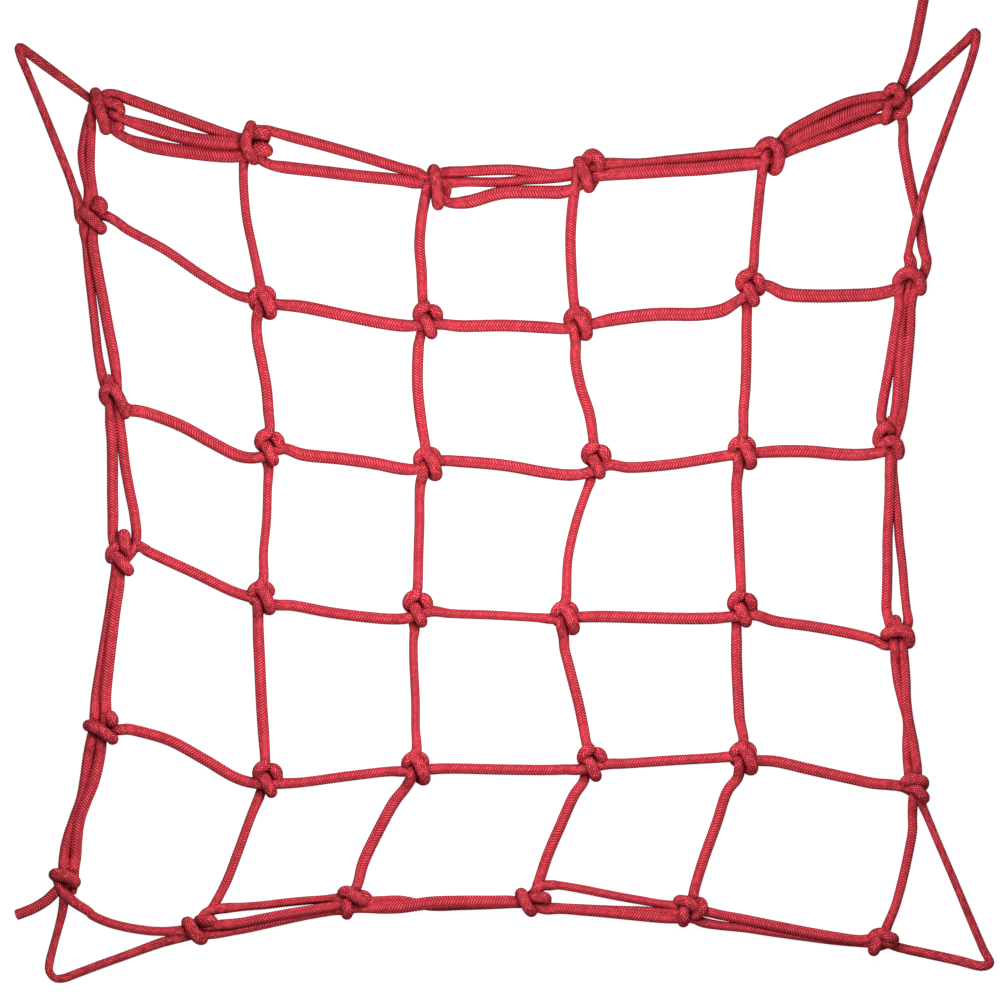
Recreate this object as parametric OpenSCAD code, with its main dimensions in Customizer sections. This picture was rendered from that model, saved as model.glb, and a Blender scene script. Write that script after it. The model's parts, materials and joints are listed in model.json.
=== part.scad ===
// Cargo climbing net: thick red braided elastic cord knotted into a square net,
// with a bundled border, four corner loops and two loose ends, lying flat on a floor.

/* [Net] */
// Width of the laying-out board that the net is set out on
board_w = 1000; // [980:10:1300]

/* [Cord] */
// Diameter of a row cord lying slack
row_d = 12.4; // [10:0.2:13]
// Diameter of a column cord, drawn out a little
column_d = 10; // [8:0.2:10.6]
// Diameter of a border strand between knots
border_d = 9.8; // [8:0.2:10]
// Diameter of cord pulled tight in a knot
knot_d = 10; // [8:0.2:10.4]
// Diameter of a border strand squeezed in a knot
squeezed_d = 7; // [6:0.2:7.4]
// Diameter of a corner loop's cord
loop_d = 8.6; // [7:0.2:9]
// Diameter of a loose end
tail_d = 10; // [8:0.2:10.4]

/* [Knots] */
// Room between the turns of a knot and the cord in it
knot_room = 1.0; // [0.6:0.1:1.4]

/* [Folds] */
// Gap between cord points that meet on a fold
fold_gap = 0.9; // [0.8:0.1:1.4]
// Slope of a cord's point at a fold, from the cord's middle line
fold_slope = 40; // [36:1:42]

/* [Hidden] */

// The laying-out board is 1000 mm wide when drawn: x to the right, y down
spread = board_w / 1000;
middle = [505.6, 502.4];
sides = 6;

// Heights
turn_reach = knot_d + knot_room;
wrap_reach = (knot_d + squeezed_d) / 2 + knot_room * 1.4;
knot_z = turn_reach + knot_d * 0.4;
fold_z = 6;
// Share of its radius that a cord's middle lies above the floor, with its underside cut flat
flat_share = 0.67;

// A cord's point on a fold, strands side by side in a knot, and turns side by side in a wrap
blunt = 0.3;
strand_gap = 0.4;
turn_gap = 0.9;
lane = squeezed_d + strand_gap;
wrap_pitch = knot_d + turn_gap;

// How far from a knot a cord starts to rise to it, and how far it starts to be squeezed
rise = [18, 46];
squeeze = [16, 34];
// Half the length of a border strand in a knot, and of a row cord in one
edge_hold = 13;
row_hold = 19;
// How far a wrap's first turn starts to one side of its knot, and the lead of cord into it
wrap_side = 8.5;
wrap_lead = 11;
// Half the width of the turns of an interior knot
turn_spread = 8.5;

// The folds run straight across the board between the rows of knots
fold_1 = 363;
fold_2 = 504;
fold_3 = 680;
folds = [fold_1, fold_2, fold_3];

// Knots, row by row from the top, each row from the left
knots = [
    [[105, 110], [255, 145], [436, 185], [590, 170], [770, 155], [895, 105]],
    [[92, 215], [263, 302], [428, 320], [578, 323], [750, 288], [908, 277]],
    [[113, 393], [270, 447], [428, 463], [596, 460], [742, 452], [888, 435]],
    [[122, 550], [262, 597], [418, 608], [565, 617], [742, 608], [897, 632]],
    [[103, 727], [268, 778], [416, 767], [592, 762], [743, 757], [913, 787]],
    [[64, 877], [200, 930], [355, 903], [533, 902], [690, 908], [882, 940]]
];

// Column cords between the rows of knots
column_ways = [
    [],
    [
        [[242, 184], [246, 217], [253, 251]],
        [[255, 340], [262, 363], [266, 388], [269, 412]],
        [[267, 488], [266, 520], [264, 552]],
        [[258, 638], [258, 658], [260, 702], [264, 732]],
        [[251, 817], [238, 850], [226, 881]]
    ],
    [
        [[421, 218], [420, 244], [421, 270]],
        [[419, 346], [417, 384], [420, 416]],
        [[420, 498], [419, 520], [418, 552]],
        [[415, 640], [414, 658], [414, 704], [414, 726]],
        [[396, 802], [376, 834], [362, 863]]
    ],
    [
        [[572, 206], [570, 236], [571, 270]],
        [[576, 360], [581, 386], [590, 414]],
        [[586, 488], [576, 520], [567, 558]],
        [[564, 648], [568, 664], [578, 703], [584, 724]],
        [[574, 794], [560, 825], [546, 853]]
    ],
    [
        [[761, 190], [757, 216], [753, 242]],
        [[747, 326], [747, 346], [745, 386], [742, 410]],
        [[736, 484], [737, 522], [740, 556]],
        [[736, 640], [736, 658], [738, 702], [741, 718]],
        [[728, 791], [716, 823], [703, 859]]
    ]
];

// Row cords between the columns of knots
row_ways = [
    [],
    [
        [[128, 228], [164, 249], [203, 274], [233, 295]],
        [[300, 306], [340, 314], [380, 322], [402, 325]],
        [[460, 324], [505, 325], [546, 327]],
        [[612, 319], [655, 314], [700, 313], [722, 305]],
        [[785, 292], [815, 295], [850, 295], [872, 291]]
    ],
    [
        [[147, 411], [180, 425], [214, 444], [239, 455]],
        [[302, 454], [340, 458], [375, 464], [400, 467]],
        [[460, 461], [505, 465], [545, 471], [568, 470]],
        [[628, 467], [670, 464], [714, 457]],
        [[775, 451], [808, 451], [842, 452]]
    ],
    [
        [[158, 556], [195, 572], [232, 592]],
        [[292, 605], [330, 612], [370, 617], [392, 616]],
        [[450, 612], [490, 614], [535, 617]],
        [[598, 616], [640, 617], [690, 617], [715, 614]],
        [[774, 619], [812, 626], [850, 633]]
    ],
    [
        [[139, 731], [169, 740], [204, 759], [235, 779]],
        [[300, 782], [345, 776], [388, 771]],
        [[450, 768], [500, 769], [545, 769], [564, 766]],
        [[625, 763], [670, 760], [714, 759]],
        [[775, 761], [810, 769], [850, 778], [874, 784]]
    ]
];

// Border strands between the knots of the top edge
top_upper = [
    [[131, 100], [164, 111], [204, 124]],
    [[290, 135], [335, 148], [385, 163]],
    [[475, 169], [515, 167], [550, 167]],
    [[635, 162], [690, 157], [735, 153]],
    [[796, 130], [814, 112], [836, 99], [862, 93]]
];
top_middle = [
    [[135, 120], [165, 130], [205, 139]],
    [],
    [[475, 183], [515, 180], [550, 179]],
    [],
    [[803, 138], [822, 122], [842, 111], [866, 106]]
];
top_lower = [
    [[133, 142], [165, 149], [210, 156]],
    [[290, 167], [335, 172], [390, 180]],
    [[470, 199], [512, 192], [548, 191]],
    [[635, 174], [690, 169], [735, 165]],
    [[808, 149], [830, 136], [850, 126], [870, 118]]
];

// Border strands between the knots of the bottom edge
bottom_upper = [
    [],
    [[230, 906], [260, 902], [312, 896]],
    [],
    [[562, 886], [602, 890], [652, 898]],
    []
];
bottom_middle = [
    [],
    [[233, 920], [264, 916], [314, 907]],
    [[395, 895], [445, 893], [495, 893]],
    [[562, 902], [604, 904], [652, 909]],
    [[722, 910], [765, 919], [815, 929], [848, 935]]
];
bottom_lower = [
    [[92, 916], [124, 926], [158, 931]],
    [[233, 932], [264, 928], [314, 919]],
    [[395, 907], [445, 904], [495, 904]],
    [[562, 914], [604, 916], [652, 921]],
    [[722, 922], [765, 931], [815, 941], [848, 946]]
];

// Border strands down the left edge, between its knots
left_outer = [
    [[83, 147], [81, 159], [82, 174], [86, 190]],
    [[84, 242], [89, 290], [96, 338]],
    [[109, 430], [111, 468], [113, 524]],
    [[111, 598], [103, 640], [97, 660], [93, 698]],
    [[88, 760], [82, 790], [71, 815], [63, 842]]
];
left_inner = [
    [[96, 146], [95, 168], [96, 190]],
    [[97, 242], [103, 290], [111, 338]],
    [[124, 430], [128, 468], [132, 524]],
    [[123, 598], [115, 640], [109, 660], [105, 698]],
    [[101, 760], [96, 790], [85, 820], [76, 844]]
];

// Border strands down the right edge, between its knots
right_outer = [
    [[904, 142], [908, 165], [912, 190], [920, 222], [924, 246]],
    [[915, 312], [911, 340], [906, 388], [901, 404]],
    [[898, 470], [900, 522], [907, 570], [905, 596]],
    [[907, 664], [911, 700], [917, 738]],
    [[913, 824], [908, 852], [900, 884]]
];
right_middle = [
    [],
    [[904, 312], [899, 340], [895, 388], [890, 404]]
];
right_inner = [
    [],
    [[893, 312], [888, 340], [884, 388], [879, 404]],
    [[884, 470], [886, 522], [889, 570], [891, 596]],
    [[894, 664], [899, 700], [905, 738]],
    []
];

// Corner loops, each from its point on one knot's side round the fold in the cord to the other,
// with heights above the floor
top_left_way = [
    [80, 89, 6], [66, 79, 3.2], [45, 64, 3.2], [29, 52, 3.2], [21, 47, 8.5],
    [24, 56, 13], [30, 75, 11], [40, 103, 6], [53, 138, 3.2], [70, 176, 6]
];
top_right_way = [
    [920, 82, 6], [935, 68, 3.2], [953, 53, 3.2], [966, 41, 3.2], [974, 33, 8.5],
    [973, 44, 13], [965, 69, 11], [955, 99, 6], [942, 138, 3.2], [926, 181, 6]
];
bottom_left_way = [
    [60, 921, 6], [55, 940, 3.2], [51, 962, 3.2], [51, 973, 8.5],
    [63, 972, 12.5], [85, 967, 6], [110, 959, 3.2], [138, 950, 3.2], [160, 943, 6]
];
bottom_right_way = [
    [927, 818, 6], [936, 841, 3.2], [950, 871, 3.2], [968, 915, 3.2], [982, 949, 3.2], [990, 963, 8.5],
    [980, 965, 12.5], [958, 959, 6], [930, 953, 3.2], [905, 946.5, 6]
];

// Ends of the loops that stay in the knots: each one's point, the way it points, and on to the knot
top_left_ends = [
    [[80, 89, 6], [85, 92.5, 6], [93, 99, 10.8]],
    [[70, 176, 6], [72.5, 182.5, 6], [75.6, 190, 9], [79, 197.8, 13]]
];
top_right_ends = [
    [[920, 82, 6], [915.5, 86, 6], [908.7, 92.9, 10.4]],
    [[926, 181, 6], [924, 187.5, 6], [921, 198, 14], [916, 214, 18.8], [908, 234, 20], [901.5, 263, 20]]
];
bottom_left_ends = [
    [[60, 921, 6], [61, 914.5, 6], [62, 904, 9], [63.4, 891.8, 14]],
    [[160, 943, 6], [166, 941, 6], [175, 944.5, 8], [185.6, 949, 12]]
];
bottom_right_ends = [
    [[927, 818, 6], [924, 812, 6], [925.5, 805, 9], [926, 797, 13]],
    [[905, 946.5, 6], [899, 945.5, 6], [893.8, 944.4, 7.8]]
];

// Loose ends
top_right_tail_way = [[901, 82], [906, 68], [911, 51], [917, 26], [923, 0], [930, -34]];
bottom_left_tail_way = [[52.7, 890.1], [42, 899], [30, 907], [17, 914]];

// Plan place on the board, and how near it is to a knot: 1 in it, 0 well away from it
function place(p) = [(p.x - middle.x) * spread, (middle.y - p.y) * spread];
function off_knots(q) = min([for (row = knots) for (k = row) norm(q - place(k))]);
function ease(t) = let (c = max(0, min(1, t))) c * c * (3 - 2 * c);
function near(q, reach) = 1 - ease((off_knots(q) - reach[0]) / (reach[1] - reach[0]));

// A point of a cord is its place, its height and its radius
function low(r) = r * flat_share;
function laid(q, r, r_in) = let (n = near(q, rise), g = near(q, squeeze))
    [q.x, q.y, low(r) + (knot_z - low(r)) * n, r + (r_in - r) * g];
function strand(way, r, r_in) = [for (p = way) laid(place(p), r, r_in)];
function raised(way, r) = [for (p = way) concat(place(p), [p.z, r])];
function back(list) = [for (i = [len(list) - 1 : -1 : 0]) list[i]];

// Blunt point of a cord that ends on an axis at a with radius r, coming from b
function pointed(a, b, r) = let (d = (b - a) / norm(b - a), far = (r - blunt) / tan(fold_slope))
    [concat(a + d * (fold_gap / 2), [blunt]), concat(a + d * (fold_gap / 2 + far), [r])];

// Blunt point of a border or column strand on a fold: side is 1 for the strand above it
function fold_point(way, fold, side, r) = let (
    x = lookup(fold, [for (p = way) [p.y, p.x]]),
    q = place([x, fold])
) pointed([q.x, q.y, fold_z], [q.x, q.y + side * 10, fold_z], r);
function above(way, fold) = [for (p = way) if (p.y < fold - 9) p];
function below(way, fold) = [for (p = way) if (p.y > fold + 9) p];

// Turns of an interior knot: the column cord goes once and a half round the row cord.
// Hand is 1 where the cord starts on the right and -1 where it starts on the left.
tilt = 12;
function turned(v) = [v.x * cos(tilt) - v.y * sin(tilt), v.x * sin(tilt) + v.y * cos(tilt), v.z];
function knot_way(k, hand) = let (
    c = concat(place(k), [knot_z]),
    r = knot_d / 2,
    d = turn_reach,
    into = [[0, 27, -6], [3 * hand, 18, 4], [6 * hand, 10.5, 9.5]],
    round = [for (a = [75 : 45 : 480])
        turned([turn_spread * hand * cos((a - 100) * 0.514), d * cos(a), d * sin(a)])],
    out = hand > 0 ? [[-7.5, -16, 3], [-7, -25, -6]] : [[6, -15, 7], [1, -24, -2]]
) [for (p = concat(into, round, out)) concat(c + p, [r])];

// How far the bundle leans in each knot of the top and bottom edges
top_lean = [-8, -10, -4, 3, 16, -8];
bottom_lean = [0, 4, 3, -3, -6, -10];
function lean(row, n) = row == 0 ? top_lean[n] : bottom_lean[n];
function run_of(row, n) = [cos(lean(row, n)), sin(lean(row, n))];
function out_of(row, n) = [-sin(lean(row, n)), cos(lean(row, n))];

// Turns of an edge knot round a bundle of border strands: out is the way off the net,
// along is the way that the turns go, half is the bundle's half width
wrap_angles = [-65, -25, 25, 65, 115, 155, 205, 245, 295, 335, 385, 425, 475, 515];
function wrap_way(c, out, along, half) = let (r = knot_d / 2, d = wrap_reach) concat(
    [concat(c - out * (half + d + wrap_lead) - along * wrap_side, [knot_z - r, r])],
    [for (a = wrap_angles) concat(
        c + along * ((a + 65) / 360 * wrap_pitch - wrap_side)
            + out * (half * max(-1, min(1, 1.8 * sin(a))) + d * sin(a)),
        [knot_z + d * cos(a), r]
    )]
);

// Strands of a border lie side by side in its knots, lanes apart
function in_knot(k, off, along) = let (q = place(k) + off, r = squeezed_d / 2)
    [concat(q - along * edge_hold, [knot_z, r]), concat(q + along * edge_hold, [knot_z, r])];

// A column cord through an interior knot, with the strands either side of it
function hand_of(row, column) = (row + column) % 2 == 0 ? 1 : -1;
function edge_wrap(row, n, hand) = wrap_way(
    place(knots[row][n]), out_of(row, n) * (row == 0 ? 1 : -1), -hand * run_of(row, n), lane
);
function column_part(n, row) = let (
    r = column_d / 2,
    k = knots[row][n],
    up = column_ways[n][row - 1],
    down = column_ways[n][row],
    start = row == 1
        ? concat(back(edge_wrap(0, n, -1)), strand(up, r, knot_d / 2))
        : concat(fold_point(up, folds[row - 2], -1, r), strand(below(up, folds[row - 2]), r, knot_d / 2)),
    end = row == 4
        ? concat(strand(down, r, knot_d / 2), edge_wrap(5, n, 1))
        : concat(
            strand(above(down, folds[row - 1]), r, knot_d / 2),
            back(fold_point(down, folds[row - 1], 1, r))
        )
) concat(start, knot_way(k, hand_of(row, n)), end);

// A row cord from its wrap round the left border, through four knots, to its wrap round the right one
right_half = [0, lane, lane, lane / 2, lane / 2];
function through(k) = let (c = place(k), s = row_hold * [cos(tilt), sin(tilt)], r = knot_d / 2)
    [for (p = [c - s, c, c + s]) concat(p, [knot_z, r])];
function row_part(n) = let (r = row_d / 2, r_in = knot_d / 2, k = knots[n], w = row_ways[n]) concat(
    back(wrap_way(place(k[0]), [-1, 0], [0, 1], lane / 2)),
    strand(w[0], r, r_in), through(k[1]),
    strand(w[1], r, r_in), through(k[2]),
    strand(w[2], r, r_in), through(k[3]),
    strand(w[3], r, r_in), through(k[4]),
    strand(w[4], r, r_in),
    wrap_way(place(k[5]), [1, 0], [0, 1], right_half[n])
);

// A strand of the top or bottom border from knot first to knot last, with lane number at
function edge_part(row, ways, first, last, at) = [
    for (n = [first : last]) for (p = concat(
        in_knot(knots[row][n], at * lane * out_of(row, n), run_of(row, n)),
        n < last ? strand(ways[n], border_d / 2, squeezed_d / 2) : []
    )) p
];

// Strands of the side borders in a knot run down through it
function side_knot(row, column, at) = in_knot(knots[row][column], [at * lane, 0], [0, -1]);
function side(way) = strand(way, border_d / 2, squeezed_d / 2);
function side_above(way, fold) = concat(side(above(way, fold)), back(fold_point(way, fold, 1, border_d / 2)));
function side_below(way, fold) = concat(fold_point(way, fold, -1, border_d / 2), side(below(way, fold)));

// A closed loop's cord and the ends of it, both pointed where they meet
function loop_part(way) = let (
    r = loop_d / 2,
    p = raised(way, r),
    n = len(p),
    xyz = [for (q = p) [q.x, q.y, q.z]]
) concat(
    pointed(xyz[0], xyz[1], r),
    [for (i = [1 : n - 2]) p[i]],
    back(pointed(xyz[n - 1], xyz[n - 2], r))
);
function end_part(way) = let (r = loop_d / 2, p = raised(way, r), xyz = [for (q = p) [q.x, q.y, q.z]]) concat(
    pointed(xyz[0], xyz[1], r),
    [for (i = [2 : len(p) - 1]) p[i]]
);

// Frames along a cord, each turned as little as it can be from the one before
function unit(v) = v / norm(v);
function level(v, t) = unit(v - (v * t) * t);
function ups(t, i = 1, list = []) =
    i == 1 && len(list) == 0 ? ups(t, 1, [level(abs(t[0].z) < 0.9 ? [0, 0, 1] : [0, 1, 0], t[0])])
    : i == len(t) ? list
    : ups(t, i + 1, concat(list, [level(list[i - 1], t[i])]));

// Least gap of a cord to itself, on its points
function self_gap(p) = min(concat([1000], [
    for (i = [0 : len(p) - 1]) for (j = [i + 4 : 1 : len(p) - 1])
        norm([p[i].x - p[j].x, p[i].y - p[j].y, p[i].z - p[j].z]) - p[i][3] - p[j][3]
]));

// A cord as one unbroken tube, flat where it lies on the floor
module cord(p) {
    n = len(p);
    xyz = [for (q = p) [q.x, q.y, q.z]];
    t = [for (i = [0 : n - 1]) unit(xyz[min(i + 1, n - 1)] - xyz[max(i - 1, 0)])];
    u = ups(t);
    ring = [for (i = [0 : n - 1]) for (s = [0 : sides - 1]) let (
        a = 360 * s / sides,
        q = xyz[i] + p[i][3] * (cos(a) * cross(t[i], u[i]) + sin(a) * u[i])
    ) [q.x, q.y, max(q.z, 0)]];
    skin = [for (i = [0 : n - 2]) for (s = [0 : sides - 1]) let (
        a = i * sides + s,
        b = i * sides + (s + 1) % sides
    ) each [[a, b, a + sides], [b, b + sides, a + sides]]];
    first = [for (s = [1 : sides - 2]) [0, s + 1, s]];
    last = [for (s = [1 : sides - 2]) (n - 1) * sides * [1, 1, 1] + [0, s, s + 1]];
    polyhedron(ring, concat(skin, first, last));
    echo(str(n, " rings, least gap to itself ", self_gap(p)));
}

// Top border
module top_border_upper() color("firebrick") cord(edge_part(0, top_upper, 0, 5, 1));
module top_border_middle() color("darkred") {
    cord(edge_part(0, top_middle, 0, 1, 0));
    cord(edge_part(0, top_middle, 2, 3, 0));
    cord(edge_part(0, top_middle, 4, 5, 0));
}
module top_border_lower() color("firebrick") cord(edge_part(0, top_lower, 0, 5, -1));

// Bottom border
module bottom_border_upper() color("darkred") {
    cord(edge_part(5, bottom_upper, 1, 2, 1));
    cord(edge_part(5, bottom_upper, 3, 4, 1));
}
module bottom_border_middle() color("firebrick") cord(edge_part(5, bottom_middle, 1, 5, 0));
module bottom_border_lower() color("firebrick") cord(concat(
    back(wrap_way(place(knots[5][0]), [-1, 0], [0, 1], lane / 2)),
    strand(bottom_lower[0], border_d / 2, squeezed_d / 2),
    edge_part(5, bottom_lower, 1, 5, -1)
));

// Columns
module column(n, row) color("crimson") cord(column_part(n, row));
module column_1_upper() column(1, 1);
module column_2_upper() column(2, 1);
module column_3_upper() column(3, 1);
module column_4_upper() column(4, 1);
module column_1_row_2() column(1, 2);
module column_2_row_2() column(2, 2);
module column_3_row_2() column(3, 2);
module column_4_row_2() column(4, 2);
module column_1_row_3() column(1, 3);
module column_2_row_3() column(2, 3);
module column_3_row_3() column(3, 3);
module column_4_row_3() column(4, 3);
module column_1_lower() column(1, 4);
module column_2_lower() column(2, 4);
module column_3_lower() column(3, 4);
module column_4_lower() column(4, 4);

// Rows
module row(n) color("indianred") cord(row_part(n));
module row_1_cord() row(1);
module row_2_cord() row(2);
module row_3_cord() row(3);
module row_4_cord() row(4);

// Left border
module left_border_upper_outer() color("firebrick") cord(concat(
    side(left_outer[0]), side_knot(1, 0, -0.5), side_above(left_outer[1], fold_1)
));
module left_border_upper_inner() color("brown") cord(concat(
    back(edge_wrap(0, 0, -1)), side(left_inner[0]), side_knot(1, 0, 0.5),
    side_above(left_inner[1], fold_1)
));
module left_border_row_2_outer() color("firebrick") cord(concat(
    side_below(left_outer[1], fold_1), side_knot(2, 0, -0.5),
    side_above(left_outer[2], fold_2)
));
module left_border_row_2_inner() color("brown") cord(concat(
    side_below(left_inner[1], fold_1), side_knot(2, 0, 0.5),
    side_above(left_inner[2], fold_2)
));
module left_border_row_3_outer() color("firebrick") cord(concat(
    side_below(left_outer[2], fold_2), side_knot(3, 0, -0.5),
    side_above(left_outer[3], fold_3)
));
module left_border_row_3_inner() color("brown") cord(concat(
    side_below(left_inner[2], fold_2), side_knot(3, 0, 0.5),
    side_above(left_inner[3], fold_3)
));
module left_border_lower_outer() color("firebrick") cord(concat(
    side_below(left_outer[3], fold_3), side_knot(4, 0, -0.5),
    side(left_outer[4]), side_knot(5, 0, -0.5)
));
module left_border_lower_inner() color("brown") cord(concat(
    side_below(left_inner[3], fold_3), side_knot(4, 0, 0.5),
    side(left_inner[4]), side_knot(5, 0, 0.5)
));

// Right border
module right_border_upper_outer() color("firebrick") cord(concat(
    back(edge_wrap(0, 5, 1)), side(right_outer[0]), side_knot(1, 5, 1),
    side_above(right_outer[1], fold_1)
));
module right_border_upper_middle() color("darkred") cord(concat(
    side_knot(1, 5, 0), side_above(right_middle[1], fold_1)
));
module right_border_upper_inner() color("brown") cord(concat(
    side_knot(1, 5, -1), side_above(right_inner[1], fold_1)
));
module right_border_row_2_outer() color("firebrick") cord(concat(
    side_below(right_outer[1], fold_1), side_knot(2, 5, 1),
    side_above(right_outer[2], fold_2)
));
module right_border_row_2_middle() color("darkred") cord(concat(
    side_below(right_middle[1], fold_1), side_knot(2, 5, 0)
));
module right_border_row_2_inner() color("brown") cord(concat(
    side_below(right_inner[1], fold_1), side_knot(2, 5, -1),
    side_above(right_inner[2], fold_2)
));
module right_border_row_3_outer() color("firebrick") cord(concat(
    side_below(right_outer[2], fold_2), side_knot(3, 5, 0.5),
    side_above(right_outer[3], fold_3)
));
module right_border_row_3_inner() color("brown") cord(concat(
    side_below(right_inner[2], fold_2), side_knot(3, 5, -0.5),
    side_above(right_inner[3], fold_3)
));
module right_border_lower_outer() color("firebrick") cord(concat(
    side_below(right_outer[3], fold_3), side_knot(4, 5, 0.5), side(right_outer[4]),
    edge_wrap(5, 5, 1)
));
module right_border_lower_inner() color("brown") cord(concat(
    side_below(right_inner[3], fold_3), side_knot(4, 5, -0.5)
));

// Corner loops and the ends of them that the knots hold
module top_left_loop() color("orangered") cord(loop_part(top_left_way));
module top_right_loop() color("orangered") cord(loop_part(top_right_way));
module bottom_left_loop() color("orangered") cord(loop_part(bottom_left_way));
module bottom_right_loop() color("orangered") cord(loop_part(bottom_right_way));
module upper_loop_ends() color("tomato")
    for (way = concat(top_left_ends, top_right_ends)) cord(end_part(way));
module lower_loop_ends() color("tomato")
    for (way = concat(bottom_left_ends, bottom_right_ends)) cord(end_part(way));

// Loose ends
module top_right_tail() color("salmon") cord(strand(top_right_tail_way, tail_d / 2, tail_d / 2));
module bottom_left_tail() color("salmon") cord(strand(bottom_left_tail_way, tail_d / 2, tail_d / 2));

top_border_upper();
top_border_middle();
top_border_lower();
column_1_upper();
column_2_upper();
column_3_upper();
column_4_upper();
row_1_cord();
left_border_upper_outer();
left_border_upper_inner();
right_border_upper_outer();
right_border_upper_middle();
right_border_upper_inner();
upper_loop_ends();
top_right_tail();
column_1_row_2();
column_2_row_2();
column_3_row_2();
column_4_row_2();
row_2_cord();
left_border_row_2_outer();
left_border_row_2_inner();
right_border_row_2_outer();
right_border_row_2_middle();
right_border_row_2_inner();
column_1_row_3();
column_2_row_3();
column_3_row_3();
column_4_row_3();
row_3_cord();
left_border_row_3_outer();
left_border_row_3_inner();
right_border_row_3_outer();
right_border_row_3_inner();
column_1_lower();
column_2_lower();
column_3_lower();
column_4_lower();
row_4_cord();
left_border_lower_outer();
left_border_lower_inner();
right_border_lower_outer();
right_border_lower_inner();
bottom_border_upper();
bottom_border_middle();
bottom_border_lower();
lower_loop_ends();
bottom_left_tail();
top_left_loop();
top_right_loop();
bottom_left_loop();
bottom_right_loop();
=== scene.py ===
"""Cargo climbing net: the look of its braided elastic cords, its knots and the studio round it."""

import json
import math

import bpy
import numpy as np
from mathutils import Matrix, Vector
from mathutils.kdtree import KDTree

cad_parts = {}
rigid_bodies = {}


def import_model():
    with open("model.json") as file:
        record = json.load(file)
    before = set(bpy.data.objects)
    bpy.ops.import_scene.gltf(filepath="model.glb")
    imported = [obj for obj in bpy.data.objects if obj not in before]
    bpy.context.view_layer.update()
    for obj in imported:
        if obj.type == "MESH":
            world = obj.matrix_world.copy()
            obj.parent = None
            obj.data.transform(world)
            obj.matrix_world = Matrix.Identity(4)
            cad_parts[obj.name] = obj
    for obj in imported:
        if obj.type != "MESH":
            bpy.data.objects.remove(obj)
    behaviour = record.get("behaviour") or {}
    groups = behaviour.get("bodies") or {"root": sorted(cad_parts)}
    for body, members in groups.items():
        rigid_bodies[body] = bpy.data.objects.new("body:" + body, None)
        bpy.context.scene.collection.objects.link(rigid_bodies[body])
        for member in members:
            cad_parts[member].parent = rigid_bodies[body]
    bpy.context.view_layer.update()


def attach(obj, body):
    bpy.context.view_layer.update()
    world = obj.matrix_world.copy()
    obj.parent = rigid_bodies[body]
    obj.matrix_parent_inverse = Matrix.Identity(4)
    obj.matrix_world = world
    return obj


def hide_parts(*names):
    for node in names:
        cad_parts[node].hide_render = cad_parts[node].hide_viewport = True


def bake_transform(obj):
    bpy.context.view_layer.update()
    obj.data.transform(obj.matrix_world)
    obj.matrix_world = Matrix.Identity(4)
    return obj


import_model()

bl_info = {
    "name": "Cargo climbing net",
    "version": (1, 0, 0),
    "blender": (4, 5, 0),
    "location": "3D View > Sidebar > Net",
    "description": "Lays the braided cords of a knotted climbing net and lights them on a pale floor",
    "category": "Object",
}

# The board: one millimetre for each pixel of the photograph, with the net's middle at the origin
BOARD_MIDDLE = (505.6, 502.4)
PICTURE_MIDDLE = (499.5, 499.5)
PICTURE_SIDE = 1.0
MM = 0.001

# The bands of the net from top to bottom, and the level on the board of each fold between two of them
BANDS = ("upper_band", "row_2_band", "row_3_band", "lower_band")
BAND_WORDS = ("upper", "row_2", "row_3", "lower")
FOLDS = (363, 504, 680)

# Numbers of the rows and of the columns inside the border, and of the last one of all
INNER = range(1, 5)
LAST = 5

# Height of the middle of a slack cord that lies on the floor
CORD_MIDDLE = 6

# Spacing of the points along a cord's route and along a loose end's path, and the shortest step of a route
ROUTE_SPACING = 0.5
PATH_SPACING = 3.0
SHORTEST_STEP = 0.01

# How the braid is cut into faces, and how many columns of yarns go round the cord, slack and in a knot
FACES_ROUND = 24
RINGS_PER_YARN = 4
SLACK_COLUMNS = 6
KNOT_COLUMNS = 12
YARN_LEAN = 1.0

# The share of a yarn's height that lies inside the cord's width
YARN_SUNK = 0.2

# How far round the cord its braid starts, in turns: for the letters of its name and for each further run
TURN_PER_LETTER_CODE = 0.37
TURN_PER_RUN = 0.61

# A cord that starts steeper than this has its first side axis along the board and not upright
STEEP = 0.9

# A cut end, in radii of the cord: its rim, how far out the rim and the tip are, and their yarns on the map
CAP_RIM = 0.7
CAP_RIM_OUT = 0.16
CAP_TIP_OUT = 0.24
CAP_RIM_YARNS = 0.5
CAP_TIP_YARNS = 0.8

# Balls that stand for the cords where they cast painted shade on each other: one in so many rings,
# how far one reaches, and the nearest that one counts
RINGS_PER_BALL = 3
SHADE_REACH = 0.017
NEAREST_BALL = 0.0001

# Painted shade on a cord's sides and underside: how dark it is, and how late it sets in from the top down
UNDER_SHADE = 0.4
UNDER_FALL = 3

# The share that is squeezed out of a knot's height, above the height of the strands inside it
KNOT_SQUEEZE = 0.1
STRAND_HEIGHT = 12

# How long the elastic cord is, as a share of its slack length, bunched in a knot and along a corner loop
KNOT_STRETCH = 0.85
LOOP_STRETCH = 1.4

# The sheath's fibres and patches of dye: how fine they are, and how much they wear, lift and fade the yarns
FIBRE_SCALE = 1400.0
FIBRE_DETAIL = 3.0
FIBRE_WEAR = 0.3
FIBRE_LIFT = 0.35
DYE_SCALE = 35.0
DYE_DETAIL = 2.0
DYE_FADE = 0.3

# Where the colours of the gap (painted shade), the yarn and the crown (painted highlight) sit between the
# braid's lowest and highest places, and how much lower a place counts in the painted shade between cords
GAP_LEVEL = 0.0
YARN_LEVEL = 0.3
CROWN_LEVEL = 0.95
PAINTED_SHADE_SINK = 0.45

# How much the yarns differ in tone, slack, and how much more in a knot
SLACK_SPREAD = 0.3
KNOT_SPREAD = 0.45

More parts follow.
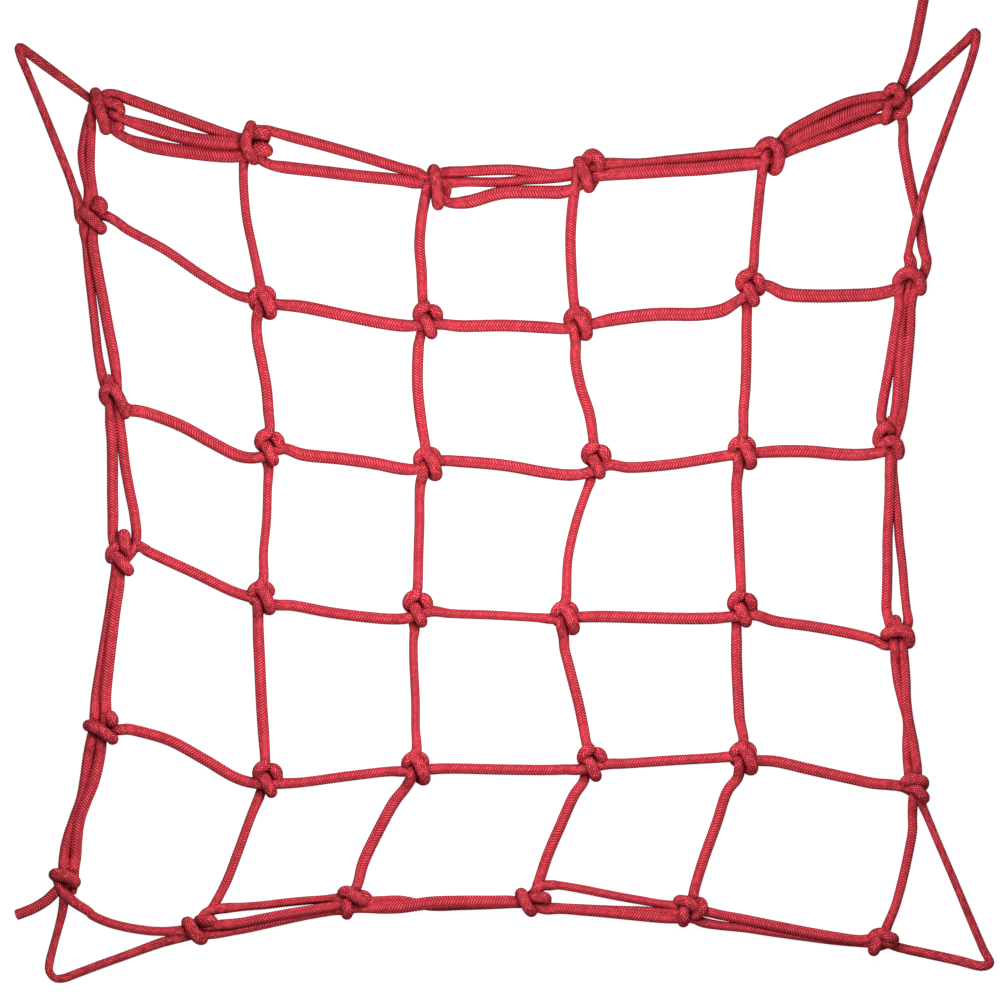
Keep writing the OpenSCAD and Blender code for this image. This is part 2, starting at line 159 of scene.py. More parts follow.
# The sheath's surface: how rough its gaps are, how much smoother its crowns, its shine and its relief
GAP_ROUGHNESS = 0.8
CROWN_POLISH = 0.1
SHEATH_SHINE = 0.03
BUMP_STRENGTH = 0.6
BUMP_HEIGHT = 0.0006

# The stage, in metres: the lamp's place, what it looks at and its side, the floor's side, the camera's reach
LAMP_SPOT = (0, 0.2, 0.9)
LAMP_AIM = (0, -0.45, 0)
LAMP_SIDE = 0.5
FLOOR_SIDE = 12.0
CAMERA_REACH = 50.0
WHITE = (1.0, 1.0, 1.0, 1.0)

# Knots, six in each row from the left border to the right one
KNOTS = (
    ((105, 110), (255, 145), (436, 185), (590, 170), (770, 155), (895, 105)),
    ((92, 215), (263, 302), (428, 320), (578, 323), (750, 288), (908, 277)),
    ((113, 393), (270, 447), (428, 463), (596, 460), (742, 452), (888, 435)),
    ((122, 550), (262, 597), (418, 608), (565, 617), (742, 608), (897, 632)),
    ((103, 727), (268, 778), (416, 767), (592, 762), (743, 757), (913, 787)),
    ((64, 877), (200, 930), (355, 903), (533, 902), (690, 908), (882, 940)),
)

# Ways of the four columns between one row of knots and the next, each with the cord's width there
COLUMN_WAYS = (
    (
        (8.8, ((243, 184), (246, 217), (253, 251))),
        (10.6, ((257, 339.5), (261.5, 363), (266, 388), (268, 412))),
        (8.8, ((267, 488), (266, 520), (263, 552))),
        (11.2, ((258, 638), (259, 658), (261, 702), (263, 732))),
        (9.2, ((250, 817), (238, 850), (226, 881))),
    ),
    (
        (10.6, ((421, 218), (419, 244), (421, 270))),
        (10.8, ((418, 346), (417, 384), (420, 416))),
        (9.8, ((419, 498), (419, 520), (418, 552))),
        (8.6, ((413, 640), (413, 658), (415, 704), (415, 726))),
        (11.4, ((394, 801), (376, 834), (362.5, 863))),
    ),
    (
        (10.4, ((572, 206), (570, 236), (571, 270))),
        (10.8, ((575, 360), (580, 386), (589, 414))),
        (9.0, ((587, 488), (576, 520), (567.5, 558))),
        (10.2, ((564, 648), (568, 664), (578, 703), (582.5, 724.5))),
        (10.8, ((574, 794), (560, 825), (547.5, 854))),
    ),
    (
        (9.4, ((759.5, 190), (757, 216), (754.5, 242))),
        (10.2, ((746, 326), (746, 346), (745, 386), (743, 410))),
        (10.6, ((736, 484), (737.5, 522), (739, 556))),
        (10.8, ((736, 640), (736, 658), (738, 702), (739, 718))),
        (10.6, ((727, 790.5), (716, 823), (703, 859))),
    ),
)

# Ways of the four rows between one knot and the next, each with the cord's width there
ROW_WAYS = (
    (
        (9.5, ((127, 229), (164, 249), (202, 275), (234, 293.5))),
        (12.4, ((300, 306), (340, 314), (380, 322), (402, 325))),
        (11.7, ((460, 325.5), (505, 325), (546, 327))),
        (13.0, ((612, 319), (655, 314), (700, 313.5), (722, 309.5))),
        (13.2, ((785, 293.5), (815, 295.5), (850, 295), (872.5, 294))),
    ),
    (
        (12.0, ((146.5, 412.5), (180, 425), (214, 443.5), (239, 455.5))),
        (12.2, ((302, 454), (340, 458), (375, 463), (400, 468))),
        (11.4, ((460, 461), (505, 465), (545, 472), (568, 474.5))),
        (10.8, ((628, 467), (670, 464), (714, 457))),
        (12.2, ((775, 451), (808, 451), (842, 454))),
    ),
    (
        (10.6, ((158, 556), (195, 573), (232.5, 591))),
        (10.9, ((292, 605), (330, 612), (370, 617), (392, 618.5))),
        (9.0, ((450, 613), (490, 614.5), (535, 617))),
        (11.6, ((598, 616), (640, 617), (690, 618), (715.5, 617.5))),
        (10.8, ((774, 620.5), (812, 626), (850, 633))),
    ),
    (
        (11.0, ((139, 731), (169, 740), (204, 759), (236, 777.5))),
        (9.8, ((300, 782), (345, 776), (388, 771))),
        (10.4, ((450, 768), (500, 769), (545, 769.5), (564.5, 769))),
        (10.0, ((625, 763), (670, 760), (714, 757.5))),
        (11.2, ((775, 761), (810, 769), (850, 778), (874, 783))),
    ),
)

# Where the cords pass each knot inside the net: the row's cord 12 to the left and to the right of it,
# how far down; the column's cord 18 above and 20 below it, how far right
PASSES = (
    ((-3.7, 1.9, -2.9, -6.9), (5.3, 4.0, -5.1, -9.0), (5.3, 1.2, -4.2, -2.9), (12.0, -3.0, 1.5, -3.6)),
    ((10.0, 1.2, -0.4, -2.1), (5.6, -2.5, -3.1, -7.9), (13.0, 4.6, -3.1, -6.0), (2.5, 0.6, 0.2, -4.7)),
    ((-0.6, 6.9, 1.2, -4.4), (9.5, 2.7, -1.2, -3.9), (1.0, -0.4, 0.3, -1.9), (8.0, 6.5, -2.0, -6.0)),
    ((4.4, 4.6, -2.9, -10.0), (3.4, 1.5, 0.3, -11.0), (6.5, 1.5, -5.6, -9.4), (-1.0, 2.5, -0.4, -6.0)),
)
ROW_REACH = 12
ABOVE = -18
BELOW = 20

# Heights and radii there: the row's cord, the column's cord above a knot, and below either kind of knot
ROW_PASS = (13.5, 5.4)
COLUMN_PASS = (16, 5)
BAND_KNOT_PASS = (8, 5.3)
LOBE_KNOT_PASS = (5.2, 5)

# A knot inside the net: the row's cord runs through it, the column's cord is tied round it.
# Offsets are millimetres to the right, down and up from the knot's middle, and sometimes a radius.
BAND_KNOT_IN = (
    (-2, -11, 22.5), (3.2, -4, 26, 5.8), (7, 5, 24.5, 5.9), (8.2, 11, 17, 5.8), (5, 11.5, 9), (-1, 7, 5.6),
)
BAND_KNOT_OUT = (
    (-1, 7, 5.6), (-8, 3, 6), (-9.5, -1.5, 12), (-9, -7, 19), (-5.5, -10.5, 19.5), (0, -12, 15, 5.2),
    (6, -10, 14.5, 5.2), (8, -5.5, 15, 5), (2.5, -4, 13.5, 5), (-2.5, -1.5, 14.5, 5), (-4, 7, 16.5, 5.6),
)
LOBE_KNOT_IN = (
    (-3, -14, 21.5), (-7.5, -11.5, 22.5, 5.8), (-10, -7, 18.5, 5.8), (-9.5, -2.5, 12), (-5, 0, 6.5),
    (2, -2.5, 5.6),
)
LOBE_KNOT_OUT = (
    (2, -2.5, 5.6), (8.5, 2, 7.5, 5.8), (8.3, -2, 13, 6.2), (8.3, -6.5, 17, 6.2), (6, -9.8, 17.5, 5.9),
    (1.5, -10.5, 13, 5), (-4, -8, 11.5, 5), (-6, -4.5, 14, 5), (-3.5, -1.5, 20), (-0.5, 4.5, 22.5, 5.8),
    (2.5, 10.5, 20.5, 5.8), (3.2, 13.5, 13, 5.5), (0, 11, 7, 5), (-5, 9, 5.5, 5),
)

# How each column's cord is tied round the top border, from its strand up into the knot
TOP_WRAPS = (
    (
        (-12, 22, 6, 4.6), (-10.5, 10, 5.6), (-7, -5, 5.6), (-4.5, -15, 9), (-4, -19.5, 15, 5.2),
        (-6, -13, 22), (-8.8, -4, 25), (-7.2, 5, 25), (-3.5, 12, 21), (-1, 14.5, 13), (2, 11, 6),
        (0, 0, 5.6), (-4, -8, 8), (-2.5, -10, 16), (3, -12.4, 22, 7.2), (8, -11.2, 20.5, 7), (10, -8, 12),
        (6, -3, 6), (-3, 1, 8), (-1.5, 3.5, 16), (4, 4, 22, 7.4), (10, 5.2, 20, 7), (12, 6, 12), (8, 6, 6),
    ),
    (
        (-13.5, 24, 8, 5.2), (-11, 12, 13, 5.4), (-7.5, 1, 17), (0, -3, 15), (8, -1, 13), (10, 4, 13, 5),
        (8, 9, 9), (2, 8, 5.6), (-3, -6, 5.6), (-4, -13, 8), (-2.5, -15.5, 14), (-1.5, -10, 22), (0, 0, 26),
        (1.2, 11, 25), (2, 19.5, 17), (1, 17, 8), (0, 8, 5.6),
    ),
    (
        (-16, 22, 9, 5), (-14.5, 12, 14, 5), (-12.5, 2, 17), (-7, -6, 17), (-4, -11, 18, 5.8),
        (1, -15, 21, 6.3), (7.5, -11, 20.5, 6.3), (9, -4, 14, 6), (4, 0, 8), (-3, -2, 5.6), (-10, -5, 8),
        (-12, -8, 14), (-10, -7, 22), (-6.5, 3, 26), (-3.5, 12, 24), (-2.2, 17.5, 16), (0, 15, 8),
        (4, 8, 5.6),
    ),
    (
        (-9.5, 26, 6, 4.7), (-8, 14, 13, 5.2), (-5.5, 4, 17, 5.6), (-3.5, -2, 16, 5.4), (1, -6, 12),
        (0, -4, 7), (-8, -3, 5.6), (-11, -5, 9), (-10.5, -7, 15), (-7, -11, 21), (-1, -12.5, 24.5),
        (5, -8.5, 25.5), (8, -1, 25), (8, 7, 22), (6, 13, 17), (3.5, 15, 10), (0, 11, 5.6), (-4, 5, 5.6),
    ),
)

# How each column's cord is tied round the bottom border, from its strand down into the knot
BOTTOM_WRAPS = (
    (
        (14, -26, 6, 4.6), (8, -17, 8, 4.8), (3, -10, 8), (-5, -4, 5.6), (-12, -6, 8), (-13, -9, 15),
        (-10, -7.5, 21, 6), (-6, 0, 25, 6), (-1.5, 6, 23.5, 6), (2, 8, 16), (2, 5, 8), (3, -4, 5.6),
        (-1, -10, 9), (1, -10, 16), (6, -11, 20, 5.8), (11, -11, 18.5), (12, -8, 11),
    ),
    (
        (3, -22, 8, 5.2), (0, -14, 12, 5.2), (-3, -7, 10), (-9, -4, 6), (-12, -8, 10), (-12, -12, 17),
        (-7.5, -13, 22, 5.8), (-1, -9, 24.5, 5.8), (5, -5, 22), (8.5, -2, 14), (4, 1, 7), (-3, 4, 5.6),
        (-8, 8, 8), (-8.3, 10, 14), (-8, 5, 21), (-8, -1, 21), (-5, -5, 15), (2, -6, 14.5, 5),
        (7.5, -9, 15, 5.2), (12, -6, 14, 5.2), (11, -2, 9, 5),
    ),
    (
        (5, -20, 9, 5.3), (2, -12, 13, 5.3), (-4, -6, 9), (-11, -6, 7), (-13, -9, 13), (-11.5, -9.5, 20),
        (-9, -2, 25), (-5, 5, 24), (-2, 8, 17), (0, 5, 8), (8, 0, 7), (12, -2, 12), (11.5, -5.5, 18),
        (5, -6, 20), (-1, -5, 18, 5.4), (-4, -2, 14),
    ),
    (
        (4, -20, 9, 5.1), (2, -12, 13, 5.2), (-4, -5, 8), (-10, -5, 7), (-12, -8, 13), (-9, -9, 20),
        (-3, -7.5, 24), (3, -3, 22), (4, 2, 15), (0, 6, 7), (-6, 11, 8), (-7.5, 12.5, 15), (-7, 7, 22),
        (-6.3, 1, 21), (-2, -2, 15), (5, -6, 13, 5.2), (10, -6.5, 15, 5.5), (11.5, -1.5, 18, 5.5),
        (8, 3, 19, 5.5), (3, 6, 16, 5.3), (1, 4, 10),
    ),
)

# How each row's cord is tied round the left border, from its strand into the knot
LEFT_WRAPS = (
    (
        (24, 6, 9, 4.8), (16, 1.5, 13, 5), (9, -1, 10), (0, -4, 5.6), (-8, -7, 7), (-10.5, -5, 14),
        (-7, -2, 22), (0, 4, 25.5), (6, 9.5, 24), (9.5, 13, 17), (8, 13.5, 9), (4, 5, 5.6), (3, -7, 7),
        (4.5, -12, 13), (8, -13, 19), (11, -8, 20.5), (7.5, -4.5, 19, 5.4), (2.5, -8, 16.5, 5.4),
    ),
    (
        (24, 17.5, 8, 6), (16, 16.5, 8, 6), (8, 12, 6), (-4, 9, 5.6), (-7.5, 6, 10), (-8.5, 1, 18),
        (-6.5, -4, 24), (-1, -5.5, 26), (4, -1, 26), (8, 6.5, 24), (11, 14, 20), (12.5, 19, 14),
        (11, 20, 8), (5, 13, 5.6), (2, -5, 6), (-3, -11, 10), (-4.5, -14, 16, 5), (-4, -9, 20, 5),
        (-3, -4, 18, 5),
    ),
    (
        (26, 1, 9, 5.2), (18, -4, 12, 5.2), (12, -3, 9), (7, 3, 10), (4, 0, 16), (3, -8, 21, 6),
        (2.5, -15.5, 20, 6), (0, -14, 14), (-3, -6, 14), (-7, -3, 18, 5.3), (-11, 2, 18, 5.3),
        (-11, 8, 14, 5.3), (-8, 7, 18), (-5, 6, 22), (0.5, 11.5, 25), (5.5, 17.5, 21), (6.5, 20, 14),
        (3, 17, 7), (-3, 10, 5.6),
    ),
    (
        (24, 1.5, 10, 5.5), (15, 2, 13, 5.4), (8, 0, 9), (-6, 0, 5.6), (-13, -1, 8), (-14.5, -2.5, 15),
        (-10, -2, 22.5), (-3, 1, 25.5), (4, 6, 25), (9.5, 10, 20), (9, 11, 11), (4, 4, 5.6), (2, -6, 7),
        (4, -10.5, 13), (8, -12, 18), (10.5, -7.5, 19.5), (8, -4, 16, 5.4),
    ),
)

# How each row's cord is tied round the right border, from its strand into the knot
RIGHT_WRAPS = (
    (
        (-24, 15, 8, 6.3), (-15, 12.5, 9, 6), (-2, 9, 5.6), (9, 11, 6), (11.5, 13, 12), (11.5, 8, 19, 5.8),
        (9.5, 1.5, 24, 6), (5, -3, 26, 6), (-1, -4.5, 26.5, 6), (-7, -2.5, 25, 6), (-11, 2, 19),
        (-11, 5, 12), (-6, 3, 9),
    ),
    (
        (-24, 19, 8, 5.9), (-13, 17.5, 13, 5.7), (-3, 15, 14, 5.4), (3, 10, 9), (10, 14, 7), (9.5, 19, 12),
        (9.8, 14, 20), (6.5, 7, 24.5), (0, 5, 23), (-6, 8, 15), (-10.5, 7, 12), (-11, 1, 17), (-8, -5.5, 22),
        (-2.5, -8.5, 22.5), (1.5, -5, 17), (2.5, -11, 13), (2.5, -15.5, 12, 4.8), (2, -10, 7),
    ),
    (
        (-24, 7, 8, 5.3), (-12, 12.5, 9, 5.3), (-2, 11, 5.6), (9, 9, 6), (11, 10.5, 12), (11, 5, 19, 5.8),
        (8.5, 0, 24, 6), (2, -2.5, 26, 6), (-6, -2, 25, 6), (-11, 0, 20), (-12, 2, 13), (-7, -2, 7),
        (-2, -8, 9), (-2.5, -12.5, 14), (-2, -9, 19, 5.2), (0, -4, 18),
    ),
    (
        (-24, -3, 9, 5.5), (-13, -1.5, 11, 5.4), (-4, 2, 8), (4, 8, 6), (9, 11, 11), (9.5, 9, 18),
        (5.5, 4, 23.5), (1, 0, 22), (-5, -1, 16), (-9, -3.5, 15), (-8.5, -7, 20), (-3, -9.5, 23.5, 5.8),
        (3, -8.5, 24, 5.8), (8, -7, 21, 5.8), (9, -3, 14), (5, 1, 8),
    ),
)

# The four corner knots: each is tied with the end of one border cord, from its strand into the knot
TOP_LEFT_WRAP = (
    (-14, 20, 8, 4.6), (-13.5, 6, 13, 4.8), (-10, -6, 15), (-2, -9, 14), (6, -7, 14.5, 5.2),
    (13, -4.5, 14, 5.2), (15, 1, 11, 5.2), (8, 4, 6), (-4, -6, 5.6), (-8.5, -14, 8), (-9.5, -17, 14),
    (-8, -12, 22), (-5, 0, 26), (-2, 9, 25.5), (0, 16, 21), (0.8, 19.5, 14), (4, 17, 8), (10, 15.5, 10),
    (14.5, 17, 13, 5.4), (10, 19, 14, 5.2), (5, 15, 12),
)
TOP_RIGHT_WRAP = (
    (7.8, 24, 7, 4.8), (6.2, 14, 11, 5), (3, 6, 8), (-4, -4, 6), (-8, -9, 10), (-7.5, -13, 17),
    (-3, -16.3, 22.5, 5.8), (2.5, -12, 24.5, 5.8), (3.5, -6, 22), (-1, -3, 18), (-6.5, -1, 20, 4.8),
    (-9, 6, 22, 4.8), (-11, 13, 18, 4.8), (-11, 15.5, 11, 4.8), (-6, 12, 6), (2, 6, 5.6),
)
BOTTOM_LEFT_WRAP = (
    (24, 34, 6, 4.6), (10, 24.5, 10, 5), (1.6, 16, 14, 5.6), (-4, 6, 16), (-6, 1, 11), (-9, -2, 8),
    (-9.5, -3.5, 15), (-7, -4.2, 21, 6), (0, -3.4, 25, 6.1), (7, -0.8, 25, 6.1), (11, 2.8, 19.5, 5.9),
    (10, 5, 11), (4, 4, 5.6), (-6, 0, 5.6),
)
BOTTOM_RIGHT_WRAP = (
    (12, -32, 6, 4.5), (6, -19, 11, 4.7), (2, -10, 13, 5), (-3, -3, 7), (-8, -2, 7), (-10.5, -3.5, 13),
    (-7, -7.5, 19), (0, -8, 21.5), (6, -4.5, 22.5), (10, -2.5, 18), (9, 1, 11), (2, 3, 7), (-6, 6, 6),
    (-9, 9, 10), (-9, 8.5, 17), (-7, 2, 22, 5.4), (-5.5, -3, 18, 5.2), (1, 0, 16, 5.4), (6, 1, 17, 5.4),
    (10, 1, 14),
)

# Border strands: a way on the floor has a width and its points, some of them lifted on to another cord;
# a place in a knot has the knot and its offsets
TOP_UPPER = (
    ((0, 0), ((-4, -9, 12), (0, -15, 13), (8, -16, 10))),
    (11.2, ((131, 99.8), (158, 109.4), (184, 118.8), (207, 127.2), (228, 134.6))),
    ((0, 1), ((-12, -7, 12), (0, -13, 13), (10, -15, 12), (21, -12.7, 8))),
    (11.0, ((290, 136), (324, 145), (362, 156), (401, 168), (417, 172.3))),
    ((0, 2), ((-10, -8, 12), (0, -11, 13), (12, -13, 11, 5.6))),
    (10.6, ((464, 171), (489, 169.5), (512, 169.4), (535, 171.8), (553, 174))),
    ((0, 3), ((-12, 0, 12), (0, -3, 13), (12, -6, 12, 5.8))),
    (10.5, ((640, 163), (670, 160), (700, 157), (735, 153.5))),
    ((0, 4), ((-12, -3, 12, 5.8), (0, -7, 13), (10, -14, 12))),
    (10.8, ((788, 132), (805, 122), (826, 111.2), (847, 102.3), (867, 97.8))),
    ((0, 5), ((-14, -9, 12), (0, -6, 12))),
)
TOP_MIDDLE = (
    (
        ((0, 0), ((4, 3, 12), (18, 9, 12))),
        (13.8, ((150, 127.4), (168, 132.9), (187, 137.7), (205, 140.7, 3), (228, 142.7, 4))),
        ((0, 1), ((-12, -1, 12, 5.9), (0, 0, 12), (8, -3, 12))),
    ),
    (
        ((0, 2), ((0, -2, 12), (12, -2.5, 10, 5.7))),
        (9.6, ((464, 181.4), (490, 181.7), (508, 181), (525, 179.3), (545, 178.4), (560, 177))),
        ((0, 3), ((-14, 4.5, 11), (0, 3, 12))),
    ),
    (
        ((0, 4), ((0, -1, 12), (14, -9, 12))),
        (13.6, ((809, 131.8, 1), (831, 122.8, 3), (852, 113.4, 4), (870, 108, 3))),
        ((0, 5), ((-13, 0, 12), (0, 0, 12), (6, -1, 12))),
    ),
)
TOP_LOWER = (
    ((0, 0), ((2, 12, 12), (12, 22, 11), (23, 28.5, 8.5))),
    (13.8, ((146, 144.6), (167, 148.8), (190, 151.9), (212, 154.4), (230, 155.4))),
    ((0, 1), ((-12, 10.4, 12, 6), (0, 9, 13), (8, 16, 11), (16, 19.5, 8))),
    (12.0, ((282, 166.5), (317, 170.5), (359, 175.5), (399, 179.5), (413, 182))),
    ((0, 2), ((-12, -1, 12), (0, 8, 13), (12, 17, 11))),
    (13.0, ((467, 201.5), (478, 198.8), (490, 195), (503, 192.2), (520, 191.5), (545, 191.7), (562, 191.5))),
    ((0, 3), ((-14, 17, 11), (0, 8, 13), (12, 5, 12, 6))),
    (13.6, ((640, 172, 4), (670, 170, 4), (700, 168.5, 4), (735, 165, 4))),
    ((0, 4), ((-12, 8, 12, 6), (0, 5, 13), (12, -1, 12))),
    (11.6, ((795, 147.4), (815, 140.2), (836, 132.9), (854, 126.3), (872, 119.4))),
    ((0, 5), ((-13, 12.5, 11), (0, 6, 12))),
)
BOTTOM_UPPER = (
    (
        ((5, 1), ((0, -8, 14), (5, -17, 13), (14, -21, 10), (26, -22.5, 7))),
        (8.2, ((244, 906.3), (264, 904.7), (284, 902.3), (306, 900.2), (326, 898.7))),
        ((5, 2), ((-14, -6, 12), (0, -6, 12))),
    ),
    (
        ((5, 3), ((2, -10, 13), (8, -16.5, 12), (18, -17.5, 9))),
        (8.4, ((559, 885), (580, 888.5), (601, 892.7), (621, 896.6), (642, 900.3), (661, 903.5))),
        ((5, 4), ((-14, -3.5, 12), (0, -6, 12))),
    ),
)
BOTTOM_MIDDLE = (
    ((5, 1), ((0, -4, 12), (16, -6, 14))),
    (
        9.4,
        ((240, 921.8, 5), (261, 917.8, 5), (281, 914, 5), (302, 910.4, 5), (322, 907.2, 5), (332, 905.6, 5)),
    ),
    ((5, 2), ((-13, 1, 13), (0, 0, 13), (14, -2, 12))),
    (9.5, ((380, 900.5), (400, 900), (430, 905.5), (460, 905), (490, 904), (510, 903))),
    ((5, 3), ((-12, 0, 12), (0, -1, 13), (13, 4, 11))),
    (9.6, ((560, 907.5), (580, 908.6), (600, 909.5), (620, 910.3), (645, 911), (662, 912))),
    ((5, 4), ((-12, 3.5, 12), (0, 1, 13), (16, 3, 11))),
    (9.8, ((720, 914.5, 1), (745, 919, 2), (775, 925, 4), (806, 931, 5), (835, 936, 6), (858, 939, 6))),
    ((5, 5), ((-12, -2, 13), (0, -2, 13))),
)
BOTTOM_LOWER = (
    (9.0, ((92, 915), (109, 922.5), (129, 927.5), (150, 930.5), (163, 931))),
    ((5, 1), ((-24, 1, 8, 5.6), (-14, 0, 12, 5.8), (0, 3, 13), (12, 3, 11))),
    (9.5, ((232, 930.3), (246, 927.8), (261, 924.5), (281, 920), (302, 915.4), (322, 911.8), (334, 910))),
    ((5, 2), ((-12, 6, 11), (0, 4, 12), (13, 4, 13))),
    (12.5, ((380, 906.5, 5), (400, 906, 5), (430, 902, 5), (460, 901, 5), (490, 901, 5), (510, 901, 5))),
    ((5, 3), ((-12, -1, 13), (0, 3, 13), (12, 6.4, 12))),
    (10.6, ((560, 907.8, 5), (580, 909.3, 5), (600, 911, 5), (620, 913, 5), (642, 915.2, 5), (662, 917, 5))),
    ((5, 4), ((-13, 9.5, 12), (0, 9, 12), (14, 14, 9))),
    (9.0, ((719, 925), (744, 927.5), (774, 932), (803, 936), (834, 940), (857, 942))),
    ((5, 5), ((-12, 2, 11), (0, 3, 12))),
)

# Side borders: the ways between knots, the first one empty where a strand starts at a knot, and how each
# strand comes into, sits in and leaves its knots
LEFT_OUTER_START = ((-6, -2, 11), (-14, 4, 9))
LEFT_OUTER_WAYS = (
    (10.0, ((87, 124), (84, 138), (82, 153), (84, 170), (88, 186))),
    (8.8, ((85.5, 242), (88, 270), (91.5, 300), (95, 331), (98, 356))),
    (11.0, ((110, 420), (111.5, 440), (112, 465), (112, 490), (112.5, 516))),
    (9.6, ((113, 584), (109.5, 609), (104.5, 639), (99.5, 669), (95.5, 694))),
    (10.8, ((88, 754), (84.5, 779), (81, 798), (74, 818), (66.5, 841), (64, 855))),
)
LEFT_OUTER_PLACES = (
    ((-4, -14, 12), (-6, 0, 13), (-8, 14, 12)),
    ((-10, -15, 12), (-5, 0, 13), (-3, 14, 13)),
    ((-9, -12, 12), (-6, 2, 13), (-6, 18, 12)),
    ((-8, -14, 12, 5.4), (-9, 0, 13), (-12, 14, 12, 5.4)),
    ((0, -10, 12, 5.8), (-1, 4, 11)),
)
LEFT_INNER_WAYS = (
    (9.2, ((90.5, 140, 4), (90, 155, 4), (90, 170, 4), (92, 186, 4))),
    (11.0, ((92.5, 242, 5), (97, 270, 3), (102.5, 299, 1), (108, 329), (113, 354))),
    (10.2, ((119, 420), (121.5, 440), (124.5, 465), (129, 490), (134, 515))),
    (11.6, ((118, 586), (114.5, 610, 3), (111, 640, 4), (107.5, 670, 3), (105, 696, 2))),
    (11.4, ((99, 756), (93.5, 781, 3), (85.5, 801, 5), (79, 820, 4), (76, 843, 2), (75, 857))),
)
LEFT_INNER_PLACES = (
    ((2, -14, 12), (2, 2, 13), (1, 15, 12)),
    ((3.5, -15, 12), (4, 0, 13), (6, 16, 12)),
    ((14, -12, 12), (9, 2, 12), (-1, 16, 11)),
    ((2.5, -14, 12, 5.6), (0, 0, 13), (-2, 14, 12, 5.6)),
    ((9.5, -9, 12, 5.8), (9, 6, 10), (7, 15, 7)),
)
RIGHT_OUTER_WAYS = (
    (10.4, ((902.7, 142), (906.2, 165), (911.2, 190), (919, 222), (922.4, 246))),
    (10.6, ((910, 306), (909.5, 326), (908, 346), (906.2, 366), (904.2, 386), (902.2, 404))),
    (8.6, ((892.5, 468), (894.5, 490), (897, 514), (899, 540), (902, 565), (904, 590), (906, 608))),
    (9.8, ((903.5, 660, 3), (905, 680, 3), (905.5, 700, 4), (908, 720, 4), (913, 744, 2))),
    (9.2, ((912, 816), (912, 830), (908, 853), (900, 888))),
)
RIGHT_OUTER_PLACES = (
    ((17.5, -15, 13), (13, 0, 14), (5, 14, 12)),
    ((11, -14, 12), (6, 2, 13), (4, 18, 11)),
    ((10, -10, 12), (5, 2, 13), (5, 16, 12)),
    ((3, -16, 12), (1, 0, 13), (-1, 16, 11)),
)
RIGHT_INNER_WAYS = (
    (0, ()),
    (10.2, ((898.6, 304, 4), (895.8, 324, 3), (892.6, 344, 2), (889.4, 364), (885.8, 384), (882.4, 402))),
    (10.2, ((889, 468, 4), (889, 490, 3), (888, 515, 1), (887, 540), (887, 565), (886.5, 590), (886, 608))),
    (9.5, ((895, 662), (897.5, 681), (902, 700), (907, 720), (906.5, 745), (907, 760))),
)
RIGHT_INNER_PLACES = (
    ((-7, -4, 12), (-7.5, 0, 12), (-10, 14, 12)),
    ((-7.3, -15, 12), (-1, 2, 13), (1, 18, 12)),
    ((-9, -12, 12), (-5, 2, 13), (-3, 16, 13)),
    ((-5, -14, 12), (-4, 0, 12)),
)
RIGHT_MIDDLE_WAY = (10.6, ((902, 306), (900, 325), (900, 345), (898.5, 366), (897.5, 386, 3), (896, 404, 4)))
RIGHT_MIDDLE_ENDS = (((2, -4, 11), (-1, 14, 9)), ((5, -14, 12), (3, 0, 12)))

